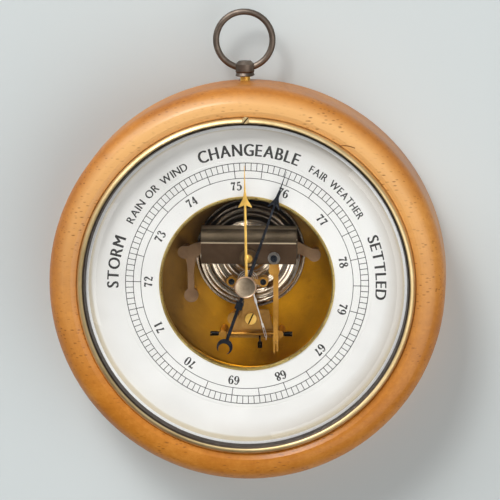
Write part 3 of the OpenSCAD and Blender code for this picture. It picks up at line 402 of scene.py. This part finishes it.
def honeyWood(s):
    material, tree, shader = freshMaterial("honeyWood")
    broad = noise(tree, objectPoint(tree), 17.0, 3.0, 0.5, 0.6)
    grainPoint = objectPoint(tree, scale=(1.0, 2.0, 3.2), turn=(0, s["grainTurn"], 0))
    grain = noise(tree, grainPoint, 60.0, 8.0, 0.62, 0.8)
    mottle = noise(tree, objectPoint(tree), 420.0, 4.0, 0.6, 0.5)
    mixed = sums(tree, "MULTIPLY_ADD", grain, 0.23, sums(tree, "MULTIPLY", mottle, 0.22))
    mixed = sums(tree, "MULTIPLY_ADD", broad, 0.55, mixed)
    colour = spread(tree, mixed, ((0.36, s["deep"]), (0.50, s["honey"]), (0.64, s["pale"])))
    crest, halfPaleBand = s["crest"]
    fromCrest = sums(tree, "ABSOLUTE", sums(tree, "SUBTRACT", turnedPoint(tree), crest))
    apart = put(tree, "ShaderNodeSeparateXYZ", {0: objectPoint(tree)})
    above = remap(tree, apart.outputs[2], -0.05, 0.07, 0.0, 0.85)
    front = remap(tree, apart.outputs[1], -0.030, -0.040)
    onCrest = remap(tree, fromCrest, halfPaleBand * 0.3, halfPaleBand, 1.0, 0.0)
    # paler crest, partly wear and partly a painted sheen, stronger towards the top and only on the front
    rubbedAndSheen = sums(tree, "MULTIPLY", onCrest, sums(tree, "MULTIPLY", above, front))
    colour = blendColours(tree, rubbedAndSheen, colour, s["lighterTone"])
    porePoint = objectPoint(tree, scale=(0.45, 1.0, 1.4), turn=(0, s["grainTurn"], 0))
    cells = put(tree, "ShaderNodeTexVoronoi", {"Vector": porePoint, "Scale": 560.0}, feature="F1")
    pores = remap(tree, cells.outputs["Distance"], 0.10, 0.30, 0.75, 0.0)
    patches = remap(tree, noise(tree, objectPoint(tree), 60.0, 3.0, 0.5), 0.42, 0.60, 0.15, 1.0)
    dots = sums(tree, "MULTIPLY", pores, patches)
    colour = blendColours(tree, sums(tree, "MAXIMUM", dots, hairline(tree, s)), colour, s["pore"])
    tree.links.new(colour, shader.inputs["Base Color"])
    tree.links.new(remap(tree, grain, 0.3, 0.7, 0.50, 0.62), shader.inputs["Roughness"])
    shader.inputs["Coat Weight"].default_value = s["varnish"]
    shader.inputs["Coat Roughness"].default_value = s["varnishRoughness"]
    shader.inputs["Specular IOR Level"].default_value = s["specular"]
    bumpUp(tree, shader, sums(tree, "ADD", grain, sums(tree, "MULTIPLY", dots, -0.8)), 0.06, 0.0003)
    return material


dress(honeyWood(woodSettings), "wood_case")


dialSettings = {
    "paper": ((0.765, 0.75, 0.74), (0.835, 0.82, 0.81)),
    "stain": (0.56, 0.47, 0.32),
    "haze": (0.52, 0.455, 0.39),
    "stainFrom": 0.0700,
    "hazeFrom": 0.0640,
    "hazeTo": 0.0722,
    "groove": 0.0573,
}


def dialWhite(s):
    material, tree, shader = freshMaterial("dialWhite")
    cloud = noise(tree, objectPoint(tree), 30.0, 4.0, 0.55, 0.5)
    radius = turnedPoint(tree)
    wander = sums(tree, "MULTIPLY_ADD", noise(tree, objectPoint(tree), 45.0, 3.0), 0.0016, radius)
    colour = spread(tree, cloud, ((0.30, s["paper"][0]), (0.60, s["paper"][1])))
    sideways = put(tree, "ShaderNodeSeparateXYZ", {0: objectPoint(tree)}).outputs[0]
    right = remap(tree, sideways, -0.02, 0.055, 0.15, 0.90)
    haze = sums(tree, "MULTIPLY", remap(tree, wander, s["hazeFrom"], s["hazeTo"]), right)
    colour = blendColours(tree, haze, colour, s["haze"])
    # a tan band along the dial's outer edge
    stain = remap(tree, wander, s["stainFrom"] + 0.0006, s["stainFrom"] + 0.0016, 0.0, 0.75)
    colour = blendColours(tree, stain, colour, s["stain"])
    tree.links.new(colour, shader.inputs["Base Color"])
    tree.links.new(remap(tree, cloud, 0.3, 0.7, 0.34, 0.46), shader.inputs["Roughness"])
    groove = remap(tree, sums(tree, "ABSOLUTE", sums(tree, "SUBTRACT", radius, s["groove"])), 0.0, 0.00035)
    fine = noise(tree, objectPoint(tree), 900.0, 3.0, 0.5)
    bumpUp(tree, shader, sums(tree, "ADD", groove, sums(tree, "MULTIPLY", fine, 0.05)), 0.5, 0.0002)
    return material


seatSettings = {"dark": (0.62, 0.56, 0.47), "light": (0.78, 0.74, 0.66), "roughness": 0.8}


def seatTan(s):
    material, tree, shader = freshMaterial("seatTan")
    fibres = noise(tree, objectPoint(tree, scale=(1, 6, 1)), 500.0, 5.0, 0.6)
    colour = spread(tree, fibres, ((0.3, s["dark"]), (0.7, s["light"])))
    tree.links.new(colour, shader.inputs["Base Color"])
    shader.inputs["Roughness"].default_value = s["roughness"]
    bumpUp(tree, shader, fibres, 0.2, 0.0002)
    return material


glassSettings = {
    "tint": (0.985, 0.992, 0.988),
    "ior": 1.45,
    "smear": 0.02,                      # roughness where it is most smeared
    "passing": (0.98, 0.985, 0.98),     # colour of the light that goes straight through
}


def clearGlass(s):
    material, tree, shader = freshMaterial("clearGlass")
    shader.inputs["Base Color"].default_value = (*s["tint"], 1.0)
    shader.inputs["Transmission Weight"].default_value = 1.0
    shader.inputs["IOR"].default_value = s["ior"]
    smear = noise(tree, objectPoint(tree), 22.0, 2.0, 0.5)
    tree.links.new(remap(tree, smear, 0.4, 0.8, 0.0, s["smear"]), shader.inputs["Roughness"])
    passing = put(tree, "ShaderNodeBsdfTransparent", {"Color": (*s["passing"], 1.0)})
    ray = put(tree, "ShaderNodeLightPath")
    lit = sums(tree, "MAXIMUM", ray.outputs["Is Shadow Ray"], ray.outputs["Is Diffuse Ray"])
    mix = put(tree, "ShaderNodeMixShader", {0: lit, 1: shader.outputs[0], 2: passing.outputs[0]})
    tree.links.new(mix.outputs[0], tree.nodes["Material Output"].inputs["Surface"])
    return material


dress(dialWhite(dialSettings), "dial_plate")
dress(seatTan(seatSettings), "glass_seat_ring")
dress(clearGlass(glassSettings), "glass")
print("wood, dial and glass made")


# new pieces

def asObject(name, mesh, material):
    piece = bpy.data.objects.new(name, mesh)
    bpy.context.scene.collection.objects.link(piece)
    piece.data.materials.clear()
    piece.data.materials.append(material)
    return piece


def finishMesh(bm, name, material, smooth=None):
    bmesh.ops.recalc_face_normals(bm, faces=bm.faces)
    mesh = bpy.data.meshes.new(name)
    bm.to_mesh(mesh)
    bm.free()
    if smooth is not None:
        mesh.shade_smooth()
        mesh.set_sharp_from_angle(angle=math.radians(smooth))
    return asObject(name, mesh, material)


# a four-cornered section, spun whole round the dial's axis; corners are distance from it and y
def spinSection(bm, corners, steps):
    section = [bm.verts.new((out, y, 0)) for out, y in corners]
    profile = [bm.edges.new((section[i], section[(i + 1) % 4])) for i in range(4)]
    bmesh.ops.spin(bm, geom=section + profile, cent=(0, 0, 0), axis=(0, 1, 0),
                   angle=2 * math.pi, steps=steps, use_merge=True)


# the mesh of a curve or a letter
def meshOf(curve):
    holder = bpy.data.objects.new("holder", curve)
    bpy.context.scene.collection.objects.link(holder)
    bpy.context.view_layer.update()
    drawn = holder.evaluated_get(bpy.context.evaluated_depsgraph_get())
    mesh = bpy.data.meshes.new_from_object(drawn)
    bpy.data.objects.remove(holder)
    return mesh


# the ink's lighter tone is where it is worn
inkSettings = {"black": (0.012, 0.011, 0.012), "lighterTone": (0.050, 0.047, 0.045)}


def dialInk(s):
    material, tree, shader = freshMaterial("dialInk")
    wear = noise(tree, objectPoint(tree), 700.0, 5.0, 0.7)
    colour = spread(tree, wear, ((0.35, s["black"]), (0.75, s["lighterTone"])))
    tree.links.new(colour, shader.inputs["Base Color"])
    tree.links.new(remap(tree, wear, 0.3, 0.7, 0.45, 0.65), shader.inputs["Roughness"])
    return material


ink = dialInk(inkSettings)
dialScale = {
    "face": -34.0 * mm,
    "thickness": 0.03 * mm,
    "circles": ((48.5, 0.30), (51.95, 0.32), (55.5, 0.34)),     # radius and width
    "circleSteps": 180,
    "marks": 130,           # all the way round, ten to a unit
    "lineWidth": 0.33,
    "firstMark": 132.2,     # degrees clockwise from the top, at 67
    "unit": 360.0 / 13.0,
    "numeralHeight": 3.9,
    "numeralBase": 43.1,
    "numeralDepth": 5,      # in thicknesses of a line
    "digitShifts": (-0.60, 0.06),
    "numbers": (67, 79),
}


def dialPlace(degrees):
    return Matrix.Rotation(math.radians(degrees), 4, "Y")


def scaleLines(s):
    bm = bmesh.new()
    depth = s["thickness"]
    back, front = s["face"], s["face"] - depth
    for radius, width in s["circles"]:
        inner, outer = (radius - width / 2) * mm, (radius + width / 2) * mm
        corners = ((inner, back), (outer, back), (outer, front), (inner, front))
        spinSection(bm, corners, s["circleSteps"])
    small, middling, large = (radius for radius, width in s["circles"])
    for mark in range(s["marks"]):
        inner = small if mark % 5 == 0 else middling
        length = large - inner
        place = dialPlace(s["firstMark"] + mark * s["unit"] / 10)
        middle = Matrix.Translation((0, s["face"] - depth / 2, (inner + length / 2) * mm))
        size = Matrix.Diagonal((s["lineWidth"] * mm, depth, length * mm, 1))
        bmesh.ops.create_cube(bm, size=1.0, matrix=place @ middle @ size)
    piece = finishMesh(bm, "dial_scale_lines", ink)
    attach(piece, "case")


scaleLines(dialScale)

penWidth = 1.4      # half a stroke's width to its weight

# strokes of the numerals: x, y and weight, on a figure one unit high
penStrokes = {
    "0": [
        ("ring", ((0.28, 0.98, 0.035), (0.07, 0.5, 0.085), (0.28, 0.02, 0.035), (0.49, 0.5, 0.085))),
    ],
    "1": [
        ("open", ((0.3, 0.97, 0.08), (0.3, 0.03, 0.08))),
        ("open", ((0.3, 0.96, 0.04), (0.13, 0.8, 0.03))),
        ("open", ((0.12, 0.03, 0.035), (0.48, 0.03, 0.035))),
    ],
    "2": [
        ("open", (
            (0.13, 0.74, 0.085), (0.13, 0.88, 0.045), (0.29, 0.97, 0.04), (0.45, 0.78, 0.085),
            (0.36, 0.52, 0.06), (0.14, 0.2, 0.035), (0.08, 0.06, 0.035),
        )),
        ("open", ((0.08, 0.08, 0.05), (0.26, 0.12, 0.065), (0.44, 0.05, 0.055), (0.52, 0.2, 0.03))),
    ],
    "3": [
        ("open", (
            (0.12, 0.78, 0.08), (0.14, 0.92, 0.04), (0.28, 0.97, 0.035), (0.44, 0.78, 0.08),
            (0.26, 0.55, 0.035),
        )),
        ("open", (
            (0.26, 0.55, 0.035), (0.49, 0.28, 0.085), (0.27, 0.02, 0.04), (0.1, 0.08, 0.045),
            (0.09, 0.2, 0.08),
        )),
    ],
    "4": [
        ("open", ((0.37, 0.97, 0.075), (0.37, 0.03, 0.075))),
        ("open", ((0.36, 0.97, 0.035), (0.04, 0.3, 0.035))),
        ("open", ((0.04, 0.29, 0.04), (0.54, 0.29, 0.04))),
        ("open", ((0.22, 0.03, 0.035), (0.52, 0.03, 0.035))),
    ],
    "5": [
        ("open", ((0.13, 0.93, 0.06), (0.3, 0.9, 0.07), (0.47, 0.97, 0.045))),
        ("open", ((0.13, 0.93, 0.035), (0.11, 0.52, 0.035))),
        ("open", (
            (0.11, 0.52, 0.035), (0.28, 0.62, 0.04), (0.49, 0.34, 0.088), (0.27, 0.02, 0.04),
            (0.1, 0.08, 0.045), (0.09, 0.2, 0.08),
        )),
    ],
    "6": [
        ("open", (
            (0.45, 0.82, 0.075), (0.42, 0.93, 0.04), (0.31, 0.98, 0.035), (0.11, 0.72, 0.065),
            (0.07, 0.38, 0.085), (0.28, 0.02, 0.035), (0.49, 0.3, 0.085), (0.3, 0.58, 0.035),
            (0.12, 0.42, 0.035),
        )),
    ],
    "7": [
        ("open", ((0.07, 0.76, 0.03), (0.09, 0.93, 0.055), (0.28, 0.89, 0.075), (0.5, 0.97, 0.045))),
        ("open", ((0.5, 0.96, 0.04), (0.32, 0.55, 0.055), (0.23, 0.05, 0.095))),
    ],
    "8": [
        ("ring", (
            (0.28, 0.98, 0.035), (0.12, 0.77, 0.07), (0.29, 0.54, 0.06), (0.49, 0.26, 0.08),
            (0.28, 0.02, 0.035), (0.06, 0.26, 0.08), (0.27, 0.52, 0.05), (0.44, 0.77, 0.07),
        )),
    ],
}
# a nine is a six turned round
penStrokes["9"] = [(kind, tuple((0.56 - x, 1.0 - y, weight) for x, y, weight in points))
                   for kind, points in penStrokes["6"]]


def drawnFigure(digit):
    curve = bpy.data.curves.new("figure", "CURVE")
    curve.dimensions = "3D"
    curve.bevel_depth = 1.0
    curve.bevel_resolution = 2
    curve.resolution_u = 8
    curve.use_fill_caps = True
    for kind, points in penStrokes[digit]:
        spline = curve.splines.new("BEZIER")
        spline.bezier_points.add(len(points) - 1)
        spline.use_cyclic_u = kind == "ring"
        for knot, (x, y, weight) in zip(spline.bezier_points, points):
            knot.co = (x, y, 0)
            knot.radius = weight * penWidth
            knot.handle_left_type = knot.handle_right_type = "AUTO"
    return meshOf(curve)


# flat lettering in its own XY, scaled, stood up and turned to its place on the dial
def standUp(size, depth, shift, radius, degrees, face):
    flat = Matrix.Diagonal((size, size, depth, 1)) @ Matrix.Translation((shift, 0, 0))
    upright = Matrix.Rotation(math.radians(90), 4, "X")
    return dialPlace(degrees) @ Matrix.Translation((0, face, radius * mm)) @ upright @ flat


def numerals(s):
    figures = {digit: drawnFigure(digit) for digit in penStrokes}
    bm = bmesh.new()
    size, depth = s["numeralHeight"] * mm, s["thickness"] * s["numeralDepth"]
    first, last = s["numbers"]
    for number in range(first, last + 1):
        angle = s["firstMark"] + (number - first) * s["unit"]
        for digit, shift in zip(str(number), s["digitShifts"]):
            part = figures[digit].copy()
            part.transform(standUp(size, depth, shift, s["numeralBase"], angle, s["face"]))
            bm.from_mesh(part)
            bpy.data.meshes.remove(part)
    for figure in figures.values():
        bpy.data.meshes.remove(figure)
    piece = finishMesh(bm, "dial_numerals", ink, 40)
    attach(piece, "case")


numerals(dialScale)

weatherWords = (            # text, from and to in degrees, letter height in mm, boldness
    ("STORM", -92.0, -69.8, 5.3, 0.028),
    ("RAIN OR WIND", -62.5, -27.0, 3.5, 0.022),
    ("CHANGEABLE", -21.0, 22.6, 5.5, 0.030),
    ("FAIR WEATHER", 28.5, 59.5, 3.4, 0.022),
    ("SETTLED", 68.7, 96.4, 5.0, 0.028),
)
wordSettings = {
    "base": 58.7,
    "condense": 0.74,
    "gap": 0.13,
    "space": 0.26,
    "spacedAt": 0.3,        # share of the height at which the spacing is measured
    "depths": (1.2, 1.4, 1.6),      # in thicknesses of a line, so that the three share no face
}


def letterMesh(letter):
    curve = bpy.data.curves.new("letter", "FONT")
    curve.body = letter
    curve.size = 1.0
    curve.extrude = 0.5
    curve.resolution_u = 4
    return meshOf(curve)


def letterSpan(letter, space):
    xs = [v.co.x for v in letter.vertices] if letter else [0, space]
    return min(xs), max(xs)


# a letter laid three times, a little apart, for its weight
def layLetter(bm, letter, narrow, middle, bold, places):
    for side, place in zip((-bold, 0, bold), places):
        beside = Matrix.Translation((side, 0, 0)) @ narrow
        stroke = letter.copy()
        stroke.transform(place @ beside @ middle)
        bm.from_mesh(stroke)
        bpy.data.meshes.remove(stroke)


def words(s, scale):
    bm = bmesh.new()
    for text, start, end, height, bold in weatherWords:
        letters = [letterMesh(letter) if letter != " " else None for letter in text]
        size = height / max(v.co.y for v in letters[0].vertices)
        spans = [letterSpan(letter, s["space"]) for letter in letters]
        radius = s["base"] + height * s["spacedAt"]
        gaps = s["gap"] * (len(text) - 1)
        natural = sum((high - low) * s["condense"] + s["gap"] for low, high in spans) - s["gap"]
        room = math.radians(end - start) * radius / size
        squeeze = (room - gaps) / (natural - gaps)
        along = 0.0
        for letter, (low, high) in zip(letters, spans):
            wide = (high - low) * s["condense"] * squeeze
            if letter:
                angle = start + math.degrees((along + wide / 2) * size / radius)
                places = [standUp(size * mm, scale["thickness"] * depth, 0, s["base"], angle, scale["face"])
                          for depth in s["depths"]]
                narrow = Matrix.Diagonal((s["condense"] * squeeze, 1, 1, 1))
                middle = Matrix.Translation((-(low + high) / 2, 0, 0))
                layLetter(bm, letter, narrow, middle, bold, places)
                bpy.data.meshes.remove(letter)
            along += wide + s["gap"]
    bmesh.ops.remove_doubles(bm, verts=bm.verts, dist=1e-7)
    piece = finishMesh(bm, "dial_words", ink)
    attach(piece, "case")


words(wordSettings, dialScale)
print("dial printed")


# ground edge of the glass bevel, a bright line inside the bezel: a pale opaque ring, partly the ground
# glass's own whiteness and partly a painted highlight where the bevel catches light
groundEdgeAndHighlight = {
    "inner": 71.95,
    "outer": 73.25,
    "lift": 0.04,
    "thickness": 0.05,
    "bevelFrom": (68.6, 41.2),      # radius and depth of the glass bevel's two ends
    "bevelTo": (74.6, 39.8),
    "steps": 180,
    "dark": (0.74, 0.75, 0.745),
    "light": (0.90, 0.905, 0.90),
}


# pale ground glass that also serves as a painted highlight on the bevel
def groundGlass(s):
    material, tree, shader = freshMaterial("groundGlass")
    grit = noise(tree, objectPoint(tree), 1600.0, 4.0, 0.7)
    colour = spread(tree, grit, ((0.3, s["dark"]), (0.7, s["light"])))
    tree.links.new(colour, shader.inputs["Base Color"])
    tree.links.new(remap(tree, grit, 0.3, 0.7, 0.28, 0.45), shader.inputs["Roughness"])
    bumpUp(tree, shader, grit, 0.1, 0.0001)
    return material


def groundBevel(s):
    (startRadius, startDepth), (endRadius, endDepth) = s["bevelFrom"], s["bevelTo"]
    slope = (endDepth - startDepth) / (endRadius - startRadius)
    bm = bmesh.new()
    corners = []
    for radius, lift in ((s["inner"], 0), (s["outer"], 0), (s["outer"], 1), (s["inner"], 1)):
        depth = startDepth + slope * (radius - startRadius) + s["lift"] + lift * s["thickness"]
        corners.append((radius * mm, -depth * mm))
    spinSection(bm, corners, s["steps"])
    piece = finishMesh(bm, "glass_ground_bevel_and_highlight", groundGlass(s), 30)
    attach(piece, "case")


groundBevel(groundEdgeAndHighlight)
print("ground edge of the glass made")

# set hand: a thin brass blade with a ridge along its middle
setHandSettings = {
    "turn": 1.0,            # degrees, as the CAD hand stands
    "back": 37.4,           # mm from the wall to its back face
    "thickness": 0.42,
    "ridge": 0.50,
    "ridgeWidth": 0.3,      # half width from which the blade has its ridge
    "barbWidth": 2.0,
    "ridgeAtBarbs": 36.8,   # the ridge runs straight past the barbs
    "eye": (2.5, 1.25),     # outer and bore radius
    "eyeSteps": 48,
    "outline": (            # half width and distance from the axis, from the tip down
        (0.10, 54.8), (0.24, 48.0), (0.42, 43.0), (0.95, 39.6), (3.05, 35.9),
        (2.95, 35.5), (0.50, 36.7), (0.52, 20.0), (0.62, 2.35),
    ),
}


def setHandBlade(s):
    bm = bmesh.new()
    front, back = -(s["back"] + s["thickness"]) * mm, -s["back"] * mm
    middle = -(s["back"] + s["ridge"]) * mm
    rows = []
    for half, along in s["outline"]:
        crest = middle if half > s["ridgeWidth"] else front
        inner = max(along, s["ridgeAtBarbs"]) if half > s["barbWidth"] else along
        places = ((-half, front, along), (0, crest, inner), (half, front, along),
                  (half, back, along), (0, back, inner), (-half, back, along))
        rows.append([bm.verts.new((x * mm, y, z * mm)) for x, y, z in places])
    for upper, lower in zip(rows, rows[1:]):
        for i in range(6):
            j = (i + 1) % 6
            bm.faces.new((upper[i], upper[j], lower[j], lower[i]))
    bm.faces.new(rows[0])
    bm.faces.new(rows[-1])
    outer, bore = s["eye"]
    corners = ((bore * mm, back), (outer * mm, back), (outer * mm, front), (bore * mm, front))
    spinSection(bm, corners, s["eyeSteps"])
    bmesh.ops.transform(bm, matrix=dialPlace(-s["turn"]), verts=bm.verts)
    piece = finishMesh(bm, "set_hand_blade", made["brightBrass"], 25)
    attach(piece, "set hand")
    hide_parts("set_hand")


setHandBlade(setHandSettings)
print("set hand made")

# hairspring: a flat spiral of round wire
hairspringSettings = {
    "turns": 4.0,
    "stepsToTurn": 48,
    "outerEnd": -90,        # degrees, where its outer end lies
    "inner": 1.6,
    "outer": 5.0,
    "wire": 0.14,
    "depth": 23.39,
}


def windHairspring(s):
    curve = bpy.data.curves.new("hairspring_wire", "CURVE")
    curve.dimensions = "3D"
    curve.bevel_depth = s["wire"] * mm
    curve.bevel_resolution = 2
    curve.use_fill_caps = True
    spline = curve.splines.new("POLY")
    count = int(s["turns"] * s["stepsToTurn"])
    spline.points.add(count)
    for i in range(count + 1):
        share = i / count
        angle = math.radians(s["outerEnd"] - 360 * s["turns"] * (1 - share))
        radius = (s["inner"] + (s["outer"] - s["inner"]) * share) * mm
        spline.points[i].co = (radius * math.cos(angle), -s["depth"] * mm, radius * math.sin(angle), 1)
    mesh = meshOf(curve)
    mesh.shade_smooth()
    piece = asObject("hairspring_wire", mesh, made["polishedSteel"])
    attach(piece, "case")
    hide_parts("hairspring")


windHairspring(hairspringSettings)


# chain: flat link plates on round pins, with the wider hook near the drum
chainSettings = {
    "low": (8.4, -25.92),       # x and z of its two ends
    "high": (1.0, 0.0),
    "depth": 26.0,
    "links": 34,
    "firstLink": 6,             # the tie stands for those below it
    "plateLength": 0.72,        # half length, in steps of the chain
    "plateWidth": 0.2728,       # half width and half thickness
    "plateThickness": 0.04675,
    "apart": 0.12,              # every second link has two plates, this far to either side
    "pin": (0.075, 0.18),       # radius and half length
    "hook": (1.7, 0.55, 0.17),
    "hookFromDrum": 9.4,
}


# where the chain's low end is, turned so that X runs along the chain, and the chain's length
def chainStart(s):
    low, high = Vector(s["low"]), Vector(s["high"])
    run = high - low
    turn = Matrix.Rotation(-math.atan2(run.y, run.x), 4, "Y")
    return Matrix.Translation((low.x * mm, -s["depth"] * mm, low.y * mm)) @ turn, run.length


def flatPlate(bm, start, along, halfLength, halfWidth, halfThickness, depth=0.0):
    shape = Matrix.Diagonal((halfLength * mm, halfThickness * mm, halfWidth * mm, 1))
    lay = Matrix.Rotation(math.radians(90), 4, "X")
    place = start @ Matrix.Translation((along * mm, depth * mm, 0)) @ shape @ lay
    bmesh.ops.create_cone(bm, cap_ends=True, segments=10, radius1=1.0, radius2=1.0, depth=2.0, matrix=place)


def linkChain(s):
    bm = bmesh.new()
    start, length = chainStart(s)
    step = length / s["links"]
    pinRadius, pinHalf = s["pin"]
    for i in range(s["firstLink"], s["links"]):
        depths = (-s["apart"], s["apart"]) if i % 2 else (0.0,)
        for depth in depths:
            flatPlate(bm, start, step * (i + 0.5), step * s["plateLength"], s["plateWidth"],
                      s["plateThickness"], depth)
        flatPlate(bm, start, step * i, pinRadius, pinRadius, pinHalf)
    flatPlate(bm, start, length - s["hookFromDrum"], *s["hook"])
    piece = finishMesh(bm, "pull_chain", made["polishedSteel"], 35)
    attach(piece, "case")
    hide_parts("chain")


linkChain(chainSettings)

# tie: a wire loop along the chain's last links, and an eye round the pin of the rocker's arm
tieSettings = {
    "half": 0.40,           # half the loop's width
    "reach": 6.9,
    "wire": 0.09,
    "sides": 8,
    "bendSteps": 12,
    "eyeHeight": -26.39,    # z of the eye's middle
    "eyeRadius": 0.70,
    "eyeWire": 0.12,
    "eyeSteps": 24,
}


def wireLoop(bm, s, start):
    half, reach, sides = s["half"], s["reach"], s["sides"]
    bends = [math.pi / 2 + math.pi * i / s["bendSteps"] for i in range(s["bendSteps"] + 1)]
    track = [(half + half * math.cos(a), half * math.sin(a)) for a in bends]
    track += [(reach - half - half * math.cos(a), -half * math.sin(a)) for a in bends]
    turns = [2 * math.pi * k / sides for k in range(sides)]
    upright = Vector((0, 1, 0))
    rings = []
    for i, (along, across) in enumerate(track):
        before, after = track[i - 1], track[(i + 1) % len(track)]
        forward = Vector((after[0] - before[0], 0, after[1] - before[1])).normalized()
        outward = upright.cross(forward)
        middle = Vector((along, 0, across))
        points = [middle + (outward * math.cos(a) + upright * math.sin(a)) * s["wire"] for a in turns]
        rings.append([bm.verts.new(start @ (p * mm)) for p in points])
    for i, ring in enumerate(rings):
        following = rings[(i + 1) % len(rings)]
        for k in range(sides):
            n = (k + 1) % sides
            bm.faces.new((ring[k], ring[n], following[n], following[k]))


def wireEye(bm, s, chain):
    across = Vector(chain["low"]).x
    middle = Vector((across * mm, -chain["depth"] * mm, s["eyeHeight"] * mm))
    top = middle + Vector((0, 0, s["eyeRadius"] * mm))
    circle = bmesh.ops.create_circle(bm, segments=s["sides"], radius=s["eyeWire"] * mm,
                                     matrix=Matrix.Translation(top))
    section = circle["verts"]
    bmesh.ops.rotate(bm, verts=section, cent=top, matrix=Matrix.Rotation(math.radians(90), 3, "X"))
    edges = list({edge for corner in section for edge in corner.link_edges})
    bmesh.ops.spin(bm, geom=section + edges, cent=middle, axis=(1, 0, 0),
                   angle=2 * math.pi, steps=s["eyeSteps"], use_merge=True)


# turns with the rocker, and slides along the last links
def chainTie(s, chain):
    bm = bmesh.new()
    wireLoop(bm, s, chainStart(chain)[0])
    wireEye(bm, s, chain)
    tie = finishMesh(bm, "chain_tie", made["polishedSteel"], 35)
    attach(tie, "rocker")


chainTie(tieSettings, chainSettings)

# bright edge where the leaf meets the bend of the spring; its brightness is a painted highlight from the
# spring steel's highlight lines
leafEdge = {"x": (-21.2, 22.4), "y": (17.95, 18.97), "z": (31.04, 31.28), "round": 0.08}


def leafEdgeStrip(s):
    bm = bmesh.new()
    low = Vector((s["x"][0], -s["z"][1], s["y"][0])) * mm
    high = Vector((s["x"][1], -s["z"][0], s["y"][1])) * mm
    size = Matrix.Diagonal((*(high - low), 1))
    bmesh.ops.create_cube(bm, size=1.0, matrix=Matrix.Translation((low + high) / 2) @ size)
    bmesh.ops.bevel(bm, geom=bm.edges[:], offset=s["round"] * mm, segments=2, profile=0.5,
                    affect="EDGES", material=-1)
    piece = finishMesh(bm, "leaf_edge_strip", made["springSteel"], 40)
    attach(piece, "spring leaf and lever")


leafEdgeStrip(leafEdge)
print("spring, chain and leaf edge made")


# stage and light

stageSettings = {
    "behind": 0.0095,           # room for the ring's swing
    "half": 1.6,
    "opening": 0.0885,          # lets light through to the back of the case
    "colour": (0.520, 0.560, 0.565),
    "roughness": 0.9,
}


# seen from the front only; the opening lets light pass, and the camera sees it as wall
def wallPaint(s):
    material, tree, shader = freshMaterial("paleWall")
    shader.inputs["Base Color"].default_value = (*s["colour"], 1.0)
    shader.inputs["Roughness"].default_value = s["roughness"]
    side = put(tree, "ShaderNodeNewGeometry")
    gone = put(tree, "ShaderNodeBsdfTransparent")
    hole = sums(tree, "LESS_THAN", turnedPoint(tree), s["opening"])
    camera = put(tree, "ShaderNodeLightPath").outputs["Is Camera Ray"]
    unseen = sums(tree, "SUBTRACT", hole, camera)
    either = sums(tree, "MAXIMUM", side.outputs["Backfacing"], unseen)
    mix = put(tree, "ShaderNodeMixShader", {0: either, 1: shader.outputs[0], 2: gone.outputs[0]})
    tree.links.new(mix.outputs[0], tree.nodes["Material Output"].inputs["Surface"])
    return material


def paleWall(s):
    bm = bmesh.new()
    turn = Matrix.Translation((0, s["behind"], 0)) @ Matrix.Rotation(math.radians(90), 4, "X")
    bmesh.ops.create_grid(bm, x_segments=1, y_segments=1, size=s["half"], matrix=turn)
    mesh = bpy.data.meshes.new("pale_wall")
    bm.to_mesh(mesh)
    bm.free()
    wall = asObject("pale_wall", mesh, wallPaint(s))


paleWall(stageSettings)

lampSettings = (            # name, place, aim, size in metres, watts, colour
    ("keyLamp", (-0.90, -2.70, 2.16), (0, -0.03, 0.0), 0.90, 50.0, (1.0, 0.985, 0.96)),
    ("topLamp", (-1.90, -2.10, 3.00), (0, -0.03, 0.0), 2.80, 124.0, (0.98, 0.99, 1.0)),
    ("rightLamp", (1.95, -3.00, -0.90), (0, -0.03, 0.0), 3.80, 100.0, (1.0, 0.985, 0.96)),
    ("backLamp", (1.10, 2.60, 1.70), (0, 0, 0), 1.80, 190.0, (1.0, 0.99, 0.97)),
)


def hangLamps(lamps):
    for name, place, aim, size, watts, colour in lamps:
        light = bpy.data.lights.new(name, "AREA")
        light.size = size
        light.energy = watts
        light.color = colour
        lamp = bpy.data.objects.new(name, light)
        bpy.context.scene.collection.objects.link(lamp)
        lamp.location = place
        lamp.rotation_mode = "QUATERNION"
        lamp.rotation_quaternion = (Vector(aim) - Vector(place)).to_track_quat("-Z", "Y")


hangLamps(lampSettings)

worldSettings = {
    "seen": (0.60, 0.645, 0.655),
    "light": (0.80, 0.83, 0.86),
    "strength": 0.21,
    "bright": (-0.40, 0.38, 0.83),      # the way to the room's bright side, as metal and glass see it
    "roomLow": (0.030, 0.028, 0.026),
    "roomHigh": (0.80, 0.82, 0.84),
}


def plainWorld(s):
    world = bpy.data.worlds.new("studio")
    bpy.context.scene.world = world
    world.use_nodes = True
    tree = world.node_tree
    light = tree.nodes["Background"]
    light.inputs["Color"].default_value = (*s["light"], 1.0)
    light.inputs["Strength"].default_value = s["strength"]
    way = put(tree, "ShaderNodeTexCoord").outputs["Generated"]
    side = put(tree, "ShaderNodeVectorMath", {0: way, 1: s["bright"]}, operation="DOT_PRODUCT")
    share = remap(tree, side.outputs["Value"], -0.5, 0.9)
    glow = spread(tree, share, ((0.0, s["roomLow"]), (1.0, s["roomHigh"])))
    room = put(tree, "ShaderNodeBackground", {"Color": glow, "Strength": 1.0})
    seen = put(tree, "ShaderNodeBackground", {"Color": (*s["seen"], 1.0), "Strength": 1.0})
    ray = put(tree, "ShaderNodeLightPath")
    shiny = sums(tree, "MAXIMUM", ray.outputs["Is Glossy Ray"], ray.outputs["Is Transmission Ray"])
    first = put(tree, "ShaderNodeMixShader", {0: shiny, 1: light.outputs[0], 2: room.outputs[0]})
    camera = ray.outputs["Is Camera Ray"]
    mix = put(tree, "ShaderNodeMixShader", {0: camera, 1: first.outputs[0], 2: seen.outputs[0]})
    tree.links.new(mix.outputs[0], tree.nodes["World Output"].inputs["Surface"])


plainWorld(worldSettings)
bpy.context.scene.view_settings.view_transform = "Standard"
print("stage and lamps set")
